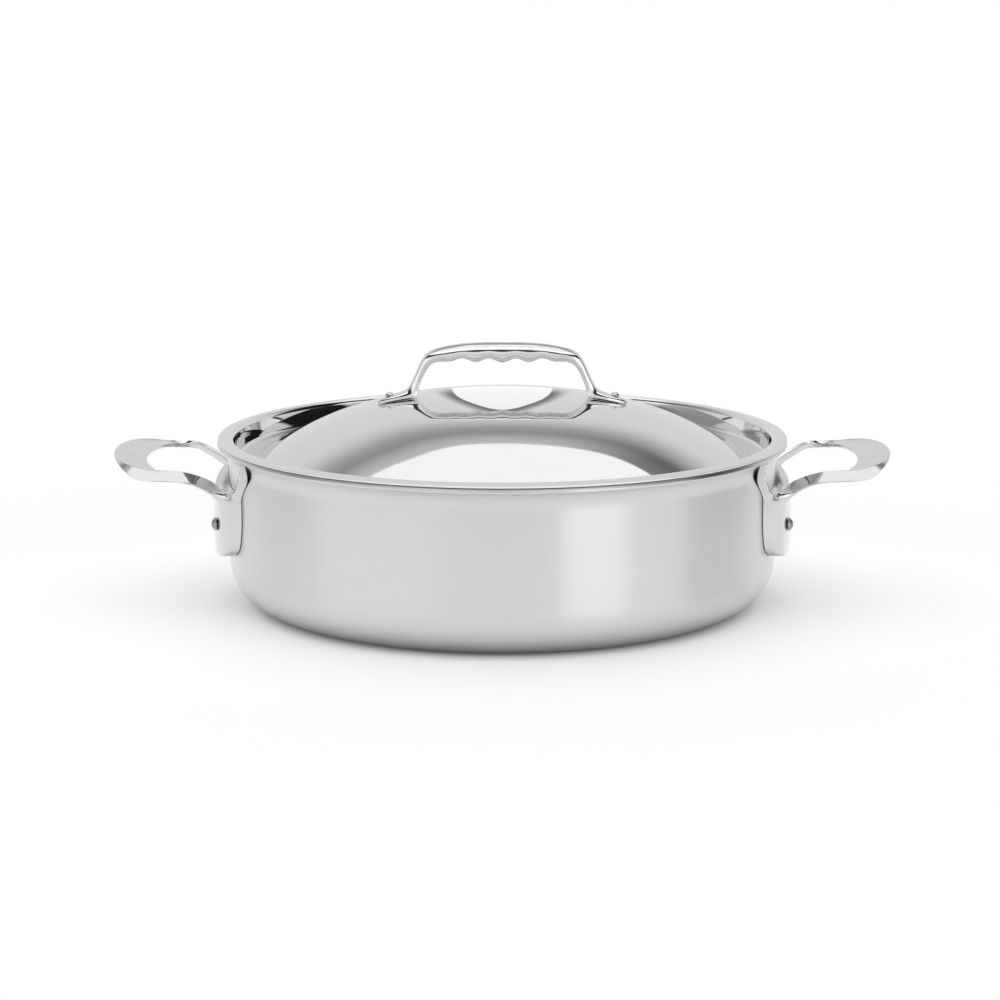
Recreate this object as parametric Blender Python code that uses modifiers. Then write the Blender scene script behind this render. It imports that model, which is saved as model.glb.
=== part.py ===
"""Deep saute pan with a lift-off lid, in metres, +Z up, standing on Z = 0.

The pan body and the lid are turned shells. The side handles and the lid handle are
castings, modelled as half cages that are mirrored and subdivided. Every handle is held
by real rivets through drilled holes. The origin is the centre of the base.
"""

import math

import bmesh
import bpy
from mathutils import Matrix, Vector

# Pan body
INNER_RADIUS = 0.1400
WALL = 0.0027
PAN_HEIGHT = 0.08587
CORNER_RADIUS = 0.0238
FLARE_RADIUS = 0.0139
FLARE_ANGLE = math.radians(58)
LIP_ROUND = 0.0011

# Lid
LID_SHEET = 0.0010
LID_SEAT_GAP = 0.0003
PLUG_CLEARANCE = 0.0008
PLUG_DEPTH = 0.0122
PLUG_DRAFT = math.radians(9)
FLANGE_SLOPE = math.radians(10)
FLANGE_FILLET = 0.0028
MOAT_FILLET = 0.0023
MOAT_WIDTH = 0.0106
DOME_FILLET = 0.0030
DOME_HEIGHT = 0.0319
DOME_POWER = 2.66

# Side handles
PLATE_WIDTH = 0.1088
PLATE_HEIGHT = 0.0345
PLATE_THICKNESS = 0.0080
PLATE_EDGE = 0.0024
PLATE_CHAMFER = 0.0028
PLATE_CORNER = 0.0176
PLATE_BELOW_RIM = 0.0214
LOBE_RISE = 0.0074
PRONG_LENGTH = 0.0262
PRONG_WIDTH = 0.0046
PRONG_HEIGHT = 0.0030
PRONG_LEAN = math.radians(49)
HANDLE_REACH = 0.0592
HANDLE_SPREAD = 0.1026
HANDLE_RISE = 0.0105
GRIP_CURL = 0.0044
GRIP_WIDTH = 0.0168
GRIP_DISH = 0.0002
GRIP_CORNER = 0.0213
ARM_WIDTH = 0.0078
ARM_THICKNESS = 0.0042

# Side rivets
RIVET_SPACING = 0.0642
RIVET_HEIGHT = 0.0458
RIVET_SHANK = 0.0025
RIVET_HEAD = 0.0035
RIVET_HEAD_HEIGHT = 0.0024
RIVET_INNER_HEAD = 0.0045
RIVET_INNER_HEIGHT = 0.0012
RIVET_SEAT_DEPTH = 0.0004

# Lid handle
LID_GRIP_RISE = 0.0282
LID_GRIP_DEPTH = 0.0150
LID_GRIP_THICKNESS = 0.0101
LID_GRIP_CROWN = 0.0020
SCALLOP_PITCH = 0.0139
SCALLOP_DEPTH = 0.0020
LID_LEG_SPAN = 0.0876
LID_LEG_WIDTH = 0.0106
LID_LEG_THICKNESS = 0.0034
LID_FOOT_LENGTH = 0.0220
LID_FOOT_WIDTH = 0.0125
LID_FOOT_THICKNESS = 0.0034
LID_RIVET_SPACING = 0.1166
LID_RIVET_SHANK = 0.0016
LID_RIVET_HEAD = 0.0023
LID_RIVET_HEAD_HEIGHT = 0.0018

# Fits and mesh fineness
GAP = 0.0003
HOLE_CLEARANCE = 0.0003
TURN_STEPS = 52
RIVET_STEPS = 10
CASTING_LEVELS = 1
MERGE = 0.00001

# Derived sizes
OUTER_RADIUS = INNER_RADIUS + WALL
MID_RADIUS = INNER_RADIUS + WALL / 2
LIP_SINK = LIP_ROUND * (math.sin(FLARE_ANGLE) + math.cos(FLARE_ANGLE) - 1)
LIP_MID_RADIUS = MID_RADIUS + FLARE_RADIUS * (1 - math.cos(FLARE_ANGLE))
LIP_MID_HEIGHT = PAN_HEIGHT + LIP_SINK - WALL / 2 * math.sin(FLARE_ANGLE)
FLARE_START = LIP_MID_HEIGHT - FLARE_RADIUS * math.sin(FLARE_ANGLE)
RIM_RADIUS = LIP_MID_RADIUS + WALL / 2 * math.cos(FLARE_ANGLE) - LIP_SINK
LIP_ARC = (
    LIP_MID_RADIUS - WALL / 2 * math.cos(FLARE_ANGLE)
    + LIP_ROUND * (math.cos(FLARE_ANGLE) - math.sin(FLARE_ANGLE)),
    PAN_HEIGHT - LIP_ROUND,
)
PLUG_FOOT_RADIUS = INNER_RADIUS - PLUG_CLEARANCE - LID_SHEET


def clear_scene():
    for obj in list(bpy.data.objects):
        bpy.data.objects.remove(obj, do_unlink=True)


def make_collection(name):
    collection = bpy.data.collections.new(name)
    bpy.context.scene.collection.children.link(collection)
    return collection


def make_material(name, color, roughness):
    material = bpy.data.materials.new(name)
    material.use_nodes = True
    shader = material.node_tree.nodes["Principled BSDF"]
    shader.inputs["Base Color"].default_value = (*color, 1)
    shader.inputs["Metallic"].default_value = 1
    shader.inputs["Roughness"].default_value = roughness
    return material


def make_empty(name, location, collection, parent=None):
    empty = bpy.data.objects.new(name, None)
    empty.empty_display_size = 0.02
    empty.location = location
    empty.parent = parent
    collection.objects.link(empty)
    return empty


def make_object(name, mesh, material, collection, parent):
    obj = bpy.data.objects.new(name, mesh)
    if not mesh.materials:
        mesh.materials.append(material)
    obj.parent = parent
    collection.objects.link(obj)
    return obj


def profile_mesh(name, points):
    """A chain of edges in the XZ plane, from (radius, height) pairs."""
    mesh = bpy.data.meshes.new(name)
    verts = [(radius, 0, height) for radius, height in points]
    edges = [(i, i + 1) for i in range(len(points) - 1)]
    mesh.from_pydata(verts, edges, [])
    return mesh


def add_screw(obj, steps):
    screw = obj.modifiers.new("Turn", "SCREW")
    screw.axis = "Z"
    screw.angle = math.tau
    screw.steps = steps
    screw.render_steps = steps
    screw.use_merge_vertices = True
    screw.merge_threshold = MERGE
    screw.use_smooth_shade = True


def add_solidify(obj, thickness):
    shell = obj.modifiers.new("Sheet", "SOLIDIFY")
    shell.thickness = thickness
    shell.offset = -1
    shell.use_even_offset = True


def add_bevel(obj, width, segments, angle):
    bevel = obj.modifiers.new("Edge", "BEVEL")
    bevel.width = width
    bevel.segments = segments
    bevel.limit_method = "ANGLE"
    bevel.angle_limit = angle


def add_cut(obj, cutter):
    cut = obj.modifiers.new("Drill " + cutter.name, "BOOLEAN")
    cut.operation = "DIFFERENCE"
    cut.solver = "EXACT"
    cut.object = cutter


def rounded(points, radii, segments):
    """A polyline whose inner corners are replaced by arcs of the given radii."""
    result = [Vector(points[0])]
    corners = zip(points, points[1:], points[2:], radii, segments)
    for before, corner, after, radius, count in corners:
        before, corner, after = Vector(before), Vector(corner), Vector(after)
        into = (corner - before).normalized()
        out = (after - corner).normalized()
        turn = into.angle(out)
        reach = radius * math.tan(turn / 2)
        side = 1 if into.x * out.y - into.y * out.x > 0 else -1
        start = corner - into * reach
        centre = start + Vector((-into.y, into.x)) * radius * side
        for step in range(count + 1):
            swing = turn * step / count * side
            arm = start - centre
            x = arm.x * math.cos(swing) - arm.y * math.sin(swing)
            y = arm.x * math.sin(swing) + arm.y * math.cos(swing)
            result.append(centre + Vector((x, y)))
    result.append(Vector(points[-1]))
    return result


def wall_radius(height):
    """Outer radius of the pan at a height, with the flare under the lip."""
    concave = FLARE_RADIUS - WALL / 2
    climb = min(max(height - FLARE_START, 0), concave * math.sin(FLARE_ANGLE))
    return OUTER_RADIUS + concave - math.sqrt(concave**2 - climb**2)


def pan_profile():
    """Outer surface of the pan, from the lip down to the centre of the base."""
    concave = FLARE_RADIUS - WALL / 2
    points = []
    for step in range(5):
        angle = FLARE_ANGLE * (1 - step / 4)
        radius = OUTER_RADIUS + concave * (1 - math.cos(angle))
        points.append((radius, FLARE_START + concave * math.sin(angle)))
    for step in range(6):
        angle = math.pi / 2 * step / 5
        radius = OUTER_RADIUS - CORNER_RADIUS * (1 - math.cos(angle))
        points.append((radius, CORNER_RADIUS * (1 - math.sin(angle))))
    points.append((0, 0))
    return points


def flange_height(radius):
    """Top of the lid flange, which clears the rounded lip by the seat gap."""
    above = LIP_ROUND + LID_SEAT_GAP + LID_SHEET
    run = radius - LIP_ARC[0]
    return LIP_ARC[1] + above / math.cos(FLANGE_SLOPE) - run * math.tan(FLANGE_SLOPE)


FLANGE_CREST = flange_height(PLUG_FOOT_RADIUS + PLUG_DEPTH * math.tan(PLUG_DRAFT))
MOAT_FLOOR = FLANGE_CREST - PLUG_DEPTH
DOME_RADIUS = PLUG_FOOT_RADIUS - MOAT_WIDTH


def dome_height(radius):
    """Top surface of the lid's dome."""
    return MOAT_FLOOR + DOME_HEIGHT * (1 - (radius / DOME_RADIUS) ** DOME_POWER)


def dome_slope(radius):
    share = (radius / DOME_RADIUS) ** (DOME_POWER - 1)
    return math.atan(DOME_HEIGHT * DOME_POWER / DOME_RADIUS * share)


def lid_profile():
    """Top surface of the lid, from the centre of the dome out to the flange edge."""
    dome = [DOME_RADIUS * 0.985 * math.sin(math.pi / 2 * step / 7) for step in range(8)]
    points = [(radius, dome_height(radius)) for radius in dome]
    crest_radius = PLUG_FOOT_RADIUS + PLUG_DEPTH * math.tan(PLUG_DRAFT)
    corners = [
        points[-1],
        (DOME_RADIUS, MOAT_FLOOR),
        (PLUG_FOOT_RADIUS, MOAT_FLOOR),
        (crest_radius, FLANGE_CREST),
        (RIM_RADIUS, flange_height(RIM_RADIUS)),
    ]
    edge = rounded(corners, (DOME_FILLET, MOAT_FILLET, FLANGE_FILLET), (1, 2, 3))
    return points + [tuple(point) for point in edge[1:]]


class HalfCage:
    """One half of a casting's control cage: quads, with some edges held crisp."""

    def __init__(self):
        self.bm = bmesh.new()
        self.crease = self.bm.edges.layers.float.new("crease_edge")

    def vert(self, point):
        return self.bm.verts.new(point)

    def face(self, *corners):
        return self.bm.faces.new(corners)

    def crisp(self, loop, amount):
        for first, second in zip(loop, loop[1:]):
            edge = self.bm.edges.get((first, second))
            if edge:
                edge[self.crease] = amount

    def tube(self, first, second):
        count = len(first)
        for i in range(count):
            j = (i + 1) % count
            self.face(first[i], first[j], second[j], second[i])

    def mesh(self, name):
        bmesh.ops.recalc_face_normals(self.bm, faces=self.bm.faces)
        mesh = bpy.data.meshes.new(name)
        self.bm.to_mesh(mesh)
        self.bm.free()
        mesh.shade_smooth()
        return mesh


def add_casting_modifiers(obj, mirror_axis):
    mirror = obj.modifiers.new("Other half", "MIRROR")
    mirror.use_axis = [axis == mirror_axis for axis in "XYZ"]
    mirror.merge_threshold = MERGE
    mirror.use_clip = True
    smooth = obj.modifiers.new("Cast surface", "SUBSURF")
    smooth.levels = CASTING_LEVELS
    smooth.render_levels = CASTING_LEVELS


# Points round a casting's section, as (across, up) shares of its half sizes
SECTION = (
    (-0.92, -0.90), (0, -1), (0.92, -0.90), (1, 0),
    (0.80, 0.84), (0, 1), (-0.80, 0.84), (-1, 0),
)
# The side handle's arm slopes down and outwards from a crisp inner edge
ARM_SECTION = (
    (-0.84, -0.80), (0, -1), (0.70, -0.98), (0.98, -0.80),
    (0.86, -0.56), (0, 0.22), (-0.92, 0.98), (-1, 0.1),
)
SECTION_SWELL = 1.10


def section_ring(cage, centre, across, up, section=SECTION):
    """Cage points round a section, swollen by what subdividing takes off."""
    return [cage.vert(centre + (across * s + up * u) * SECTION_SWELL) for s, u in section]


def on_wall(arc, height, off):
    """A point that lies off the pan's outer wall, arc metres round from the -X side."""
    angle = arc / OUTER_RADIUS
    radius = wall_radius(height) + GAP + off
    return Vector((-radius * math.cos(angle), -radius * math.sin(angle), height))


PLATE_TOP = PAN_HEIGHT - PLATE_BELOW_RIM
PLATE_BOTTOM = PLATE_TOP - PLATE_HEIGHT
COLUMNS = (0, 0.22, 0.43, 0.64, 0.74, 0.84, 1)
ROWS = (0, 0.17, 0.50, 0.83, 0.915, 1)
LAST = len(ROWS) - 1


def lobe_rise(i):
    """How far the centre lobe stands above the plate's shoulders."""
    return LOBE_RISE * max(0, 1 - (COLUMNS[i] / COLUMNS[3]) ** 2) ** 1.6


def plate_point(i, j):
    """Arc, height and thickness of a cage point on the plate's outer face."""
    half = PLATE_WIDTH / 2
    arc = COLUMNS[i] * half
    height = PLATE_BOTTOM + ROWS[j] * PLATE_HEIGHT
    full = PLATE_EDGE + (PLATE_THICKNESS - PLATE_EDGE) * (1 - COLUMNS[i] ** 4) ** 0.5
    if j == 0:
        full = PLATE_EDGE + 0.98 * (full - PLATE_EDGE)
    if j == LAST:
        full = 0.76 * full if i < 3 else 0.80 * full
        height += 0.40 * lobe_rise(i)
    if i == 6:
        full = PLATE_EDGE
    centre = Vector((half - PLATE_CORNER, PLATE_BOTTOM + PLATE_CORNER))
    out = Vector((arc, height)) - centre
    if out.x > 0 and out.y < 0 and out.length > PLATE_CORNER:
        arc, height = centre + out.normalized() * PLATE_CORNER
    return arc, height, full


def through(points):
    """Cage points whose subdivided curve passes through the given ones."""
    cage = [point.copy() for point in points]
    for _ in range(12):
        for k in range(1, len(points) - 1):
            smooth = (cage[k - 1] + cage[k] * 4 + cage[k + 1]) / 6
            cage[k] += points[k] - smooth
        mirror = Vector((cage[-2].x, -cage[-2].y, cage[-2].z))
        cage[-1] += points[-1] - (cage[-2] + cage[-1] * 4 + mirror) / 6
    return cage


def side_handle_mesh():
    """The near half of the handle on the -X side, with its plate, prong, arm and grip."""
    cage = HalfCage()
    half = PLATE_WIDTH / 2
    front = {}
    for i in range(7):
        for j in range(LAST + 1):
            front[i, j] = cage.vert(on_wall(*plate_point(i, j)))
    outline = [plate_point(i, 0) for i in range(7)]
    outline += [plate_point(6, j) for j in range(1, LAST + 1)]

    # The prong leans away from the notch, up to the flare under the lip
    lean = Vector((math.sin(PRONG_LEAN), math.cos(PRONG_LEAN)))
    side = Vector((-lean.y, lean.x))
    base = Vector((half - 0.10 * PLATE_CHAMFER, PLATE_TOP + 0.02 * PLATE_HEIGHT))
    prong_outer = []
    prong_inner = []
    for share, back in ((0.30, 0.02), (0.66, 0.10), (1.0, 0.30)):
        spine = base + lean * PRONG_LENGTH * share
        prong_outer.append((spine.x, spine.y, PRONG_HEIGHT))
        inner = spine + side * PRONG_WIDTH - lean * PRONG_LENGTH * back
        prong_inner.append((inner.x, inner.y, 0.45 * PRONG_HEIGHT))

    # The notch between the prong and the centre lobe, then the lobe's top edge
    ledge = 0.8 * PLATE_EDGE
    notch = [
        (0.90 * half, PLATE_TOP + 0.020 * PLATE_HEIGHT, 0.45 * PRONG_HEIGHT),
        (0.76 * half, PLATE_TOP - 0.010 * PLATE_HEIGHT, ledge),
        (0.62 * half, PLATE_TOP - 0.020 * PLATE_HEIGHT, ledge),
    ]
    lobe = [(COLUMNS[i] * half, PLATE_TOP + lobe_rise(i), ledge) for i in (2, 1, 0)]

    outer = [cage.vert(on_wall(*p)) for p in prong_outer]
    inner = [cage.vert(on_wall(*p)) for p in prong_inner]
    top = dict(zip((5, 4, 3, 2, 1, 0), [cage.vert(on_wall(*p)) for p in notch + lobe]))

    rim_points = outline + prong_outer + prong_inner[::-1] + notch + lobe
    rim = [front[i, 0] for i in range(7)] + [front[6, j] for j in range(1, LAST + 1)]
    rim += outer + inner[::-1] + [top[i] for i in (5, 4, 3, 2, 1, 0)]

    # The back outline stands out past the ridge by the chamfer
    back_rim = []
    for k, (arc, height, _) in enumerate(rim_points):
        before = rim_points[max(k - 1, 0)]
        after = rim_points[min(k + 1, len(rim_points) - 1)]
        along = Vector((after[0] - before[0], after[1] - before[1])).normalized()
        out = Vector((along.y, -along.x))
        if arc == 0:
            out = Vector((0, -1 if k == 0 else 1))
        reach = PLATE_CHAMFER * min(1, 0.1 + 0.25 * max(0, k - 5) ** 2)
        if k > 6 + LAST + len(prong_outer):
            reach = 0.25 * PLATE_CHAMFER
        back_rim.append(cage.vert(on_wall(arc + out.x * reach, height + out.y * reach, 0)))
    back = dict(zip(rim, back_rim))
    for (i, j), vert in front.items():
        if vert not in back:
            arc, height, _ = plate_point(i, j)
            back[vert] = cage.vert(on_wall(arc, height, 0))

    def both(*corners):
        cage.face(*corners)
        cage.face(*[back[v] for v in reversed(corners)])

    # The arm grows from the ring of eight points round a hole in the outer face
    low, high = LAST - 2, LAST
    for i in range(6):
        for j in range(LAST):
            quad = (front[i, j], front[i + 1, j], front[i + 1, j + 1], front[i, j + 1])
            if i in (3, 4) and j >= low:
                cage.face(*[back[v] for v in reversed(quad)])
            else:
                both(*quad)
    hole = [front[3, low], front[4, low], front[5, low], front[5, low + 1],
            front[5, high], front[4, high], front[3, high], front[3, low + 1]]
    for i in range(5):
        both(front[i, LAST], front[i + 1, LAST], top[i + 1], top[i])
    both(front[5, LAST], front[6, LAST], outer[0], top[5])
    both(top[5], outer[0], outer[1], inner[0])
    both(inner[0], outer[1], outer[2], inner[1])
    both(inner[1], outer[2], inner[2])
    for first, second in zip(rim, rim[1:]):
        cage.face(first, second, back[second], back[first])
    cage.crisp(rim, 0.85)
    cage.crisp(back_rim, 1.0)
    for corner in (outer[2], inner[2]):
        cage.crisp((corner, back[corner]), 1.0)
    cage.bm.verts.remove(front[4, low + 1])

    # The arm, by its centre line: shares of its run, spread and rise, and its thickness
    run = HANDLE_REACH - GRIP_CORNER
    spread = HANDLE_SPREAD / 2
    root = PLATE_TOP - 0.04 * PLATE_HEIGHT
    stations = (
        (0.14, 0.800, 0.25, 1.35),
        (0.28, 0.835, 0.58, 1.30),
        (0.45, 0.905, 0.86, 1.15),
        (0.63, 0.968, 1.00, 1.05),
    )
    arm = [on_wall(0.74 * half, PLATE_TOP - 0.085 * PLATE_HEIGHT, 0.5 * PLATE_THICKNESS)]
    for out, away, rise, _ in stations:
        arm.append(Vector((-(OUTER_RADIUS + run * out), -spread * away, root + HANDLE_RISE * rise)))
    grip_top = arm[-1].z + ARM_THICKNESS / 2
    loops = [hole]
    for k, (_, _, _, thick) in enumerate(stations):
        after = arm[k + 2] if k + 2 < len(arm) else arm[k + 1] + Vector((-1, 0.2, 0))
        along = (after - arm[k]).normalized()
        across = Vector((0, 0, 1)).cross(along).normalized()
        up = along.cross(across).normalized() * ARM_THICKNESS / 2 * thick
        loops.append(section_ring(cage, arm[k + 1], across * ARM_WIDTH / 2, up, ARM_SECTION))

    # The grip, between an inner and an outer ellipse, curls up towards its outer edge
    outer_far = OUTER_RADIUS + HANDLE_REACH
    outer_start = outer_far - GRIP_CORNER
    outer_side = spread + 0.27 * ARM_WIDTH
    inner_far = outer_far - GRIP_WIDTH
    inner_start = inner_far - 0.85 * GRIP_CORNER
    inner_side = spread - 0.65 * ARM_WIDTH

    def curl(x):
        return grip_top + GRIP_CURL * max(0, -x - outer_start) / GRIP_CORNER

    def plan(start, far, side, degrees):
        angle = math.radians(degrees)
        return Vector((-(start + (far - start) * math.sin(angle)), -side * math.cos(angle), 0))

    # Where each ring meets the two ellipses, its ridge's share of the width, and how far
    # its outer edge and its underside lie below the ridge
    rings = (
        (22, 6, 0.14, 0.0036, 0.0044),
        (39, 27, 0.60, 0.0021, 0.0030),
        (57, 49, 0.92, 0.0005, 0.0022),
        (76, 73, 0.97, 0.0002, 0.0022),
        (90, 90, 0.97, 0.0002, 0.0022),
    )
    inner_edge = through([arm[-1]] + [plan(inner_start, inner_far, inner_side, r[0]) for r in rings])
    outer_edge = through([arm[-1]] + [plan(outer_start, outer_far, outer_side, r[1]) for r in rings])
    for k, (_, _, share, drop, depth) in enumerate(rings):
        inner, outer = inner_edge[k + 1], outer_edge[k + 1]
        ridge = inner.lerp(outer, share)
        inside = (inner - outer).normalized()
        middle = inner.lerp(ridge, 0.5)
        for point in (inner, middle, ridge):
            point.z = curl(point.x)
        outer.z = ridge.z - drop
        sole = outer + inside * depth / 2
        sole.z = ridge.z - depth
        ring = [
            Vector((inner.x, inner.y, inner.z - 0.8 * depth)),
            Vector(((inner.x + sole.x) / 2, (inner.y + sole.y) / 2, ridge.z - 1.1 * depth)),
            sole,
            outer.lerp(sole, 0.35) - inside * 0.15 * depth,
            outer,
            ridge.lerp(outer, 0.5),
            ridge,
            middle - Vector((0, 0, GRIP_DISH)),
            inner,
        ]
        if k == 0:
            ring[7:] = [inner - Vector((0, 0, 0.3 * depth))]
        if k == len(rings) - 1:
            for point in ring:
                point.y = 0
        loops.append([cage.vert(point) for point in ring])
    for previous, ring in zip(loops, loops[1:]):
        if len(previous) == len(ring):
            cage.tube(previous, ring)
        else:
            for i in range(6):
                cage.face(previous[i], previous[i + 1], ring[i + 1], ring[i])
            cage.face(previous[6], previous[7], ring[8], ring[7], ring[6])
            cage.face(previous[7], previous[0], ring[0], ring[8])
    for corner, amount in ((0, 0.35), (2, 0.30), (4, 0.55), (6, 0.75)):
        cage.crisp([ring[corner] for ring in loops], amount)
    cage.crisp([ring[-1] for ring in loops[len(stations) + 1:]], 0.8)
    return cage.mesh("side_handle")


def lid_handle_mesh():
    """The +X half of the lid's bridge handle, from the grip's middle to the foot."""
    cage = HalfCage()
    top_z = MOAT_FLOOR + DOME_HEIGHT + LID_GRIP_RISE
    half_span = LID_LEG_SPAN / 2
    shoulder = half_span - 2.3 * LID_LEG_THICKNESS

    def crest(x):
        return top_z - 0.135 * LID_GRIP_RISE * (x / shoulder) ** 3

    stations = []
    quarter = SCALLOP_PITCH / 4
    for k in range(10):
        x = quarter * k
        wave = math.cos(math.tau * x / SCALLOP_PITCH)
        fade = 1 if k < 8 else 0.5
        thick = LID_GRIP_THICKNESS * (1 - 0.21 * (k / 9) ** 2)
        under = crest(x) - thick - 0.75 * SCALLOP_DEPTH * wave * fade
        width = LID_GRIP_DEPTH * (1 - 0.12 * (k / 9) ** 2)
        stations.append(((x, crest(x)), (x, under), width, LID_GRIP_CROWN))

    # The leg leans outwards from the shoulder to the foot, given by its inner face
    foot_z = dome_height(half_span)
    drop = crest(shoulder) - foot_z
    leg = LID_LEG_THICKNESS
    for out, down, thick, turn, width in (
        (-0.165, 0.280, 2.00, 70, 1.22),
        (-0.085, 0.465, 1.78, 61, 1.06),
        (-0.030, 0.680, 1.41, 47, 1.00),
        (0.000, 0.900, 1.85, 25, 1.10),
    ):
        inner = Vector((half_span * (1 + out), crest(shoulder) - drop * down))
        angle = math.radians(turn)
        outer = inner + Vector((math.cos(angle), math.sin(angle))) * leg * thick
        stations.append((tuple(outer), tuple(inner), LID_LEG_WIDTH * width, 0.3 * LID_GRIP_CROWN))

    rings = []
    for outer, inner, width, crown in stations:
        outer, inner = Vector((outer[0], 0, outer[1])), Vector((inner[0], 0, inner[1]))
        up = (outer - inner) / 2
        ring = section_ring(cage, (outer + inner) / 2, Vector((0, width / 2, 0)), up / SECTION_SWELL)
        for corner in (4, 6):
            ring[corner].co -= up.normalized() * crown
        rings.append(ring)
    for vert in rings[0]:
        vert.co.x = 0

    # The foot's sole follows the dome, and its top tapers to a thin tip
    foot = LID_FOOT_LENGTH
    for along, sole, thick, width in (
        (0.30, 0.03, 1.35, 1.06),
        (0.50, 0.40, 1.05, 1.00),
        (0.76, 0.72, 0.86, 0.80),
        (0.98, 0.97, 0.55, 0.50),
    ):
        ring = []
        for i, (s, u) in enumerate(SECTION):
            upper = i in (4, 5, 6)
            x = half_span + foot * (along if upper else sole if i in (0, 1, 2) else (along + sole) / 2)
            y = s * LID_FOOT_WIDTH / 2 * width * SECTION_SWELL
            base = dome_height(math.hypot(x, y)) + GAP
            lift = 1.0 if i == 5 else 0.86
            height = LID_FOOT_THICKNESS * thick * (lift if upper else 0 if i in (0, 1, 2) else 0.5)
            ring.append(cage.vert((x, y, base + height)))
        rings.append(ring)
    for first, second in zip(rings, rings[1:]):
        cage.tube(first, second)
    tip = rings[-1]
    cage.face(tip[0], tip[1], tip[2], tip[3])
    cage.face(tip[3], tip[4], tip[5], tip[6])
    cage.face(tip[6], tip[7], tip[0], tip[3])
    for corner, amount in ((0, 0.6), (2, 0.6), (4, 0.4), (6, 0.4)):
        cage.crisp([ring[corner] for ring in rings], amount)
    cage.crisp(tip[0:3], 0.8)
    return cage.mesh("lid_handle")


def rivet_profile(shank, head, head_height, inner_head, inner_height, length):
    """A rivet along +Z: the domed outer head stands above Z = 0, the inner one below."""
    sphere = (head**2 + head_height**2) / (2 * head_height)
    spread = math.asin(min(1, head / sphere))
    if head_height > head:
        spread = math.pi - spread
    points = []
    for step in range(4):
        angle = spread * step / 3
        points.append((sphere * math.sin(angle), head_height - sphere * (1 - math.cos(angle))))
    points += [(shank, 0), (shank, -length)]
    points += [(inner_head, -length), (0.75 * inner_head, -length - inner_height)]
    points.append((0, -length - inner_height))
    return points


def drill_profile(shank, seat, depth, length):
    """A stepped drill along +Z: a hole below Z = 0 and a flat seat for the head above."""
    return [(0, depth), (seat, depth), (seat, 0), (shank, 0), (shank, -length), (0, -length)]


def axis_matrix(origin, direction):
    turn = Vector(direction).normalized().to_track_quat("Z", "Y")
    return Matrix.Translation(origin) @ turn.to_matrix().to_4x4()


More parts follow.
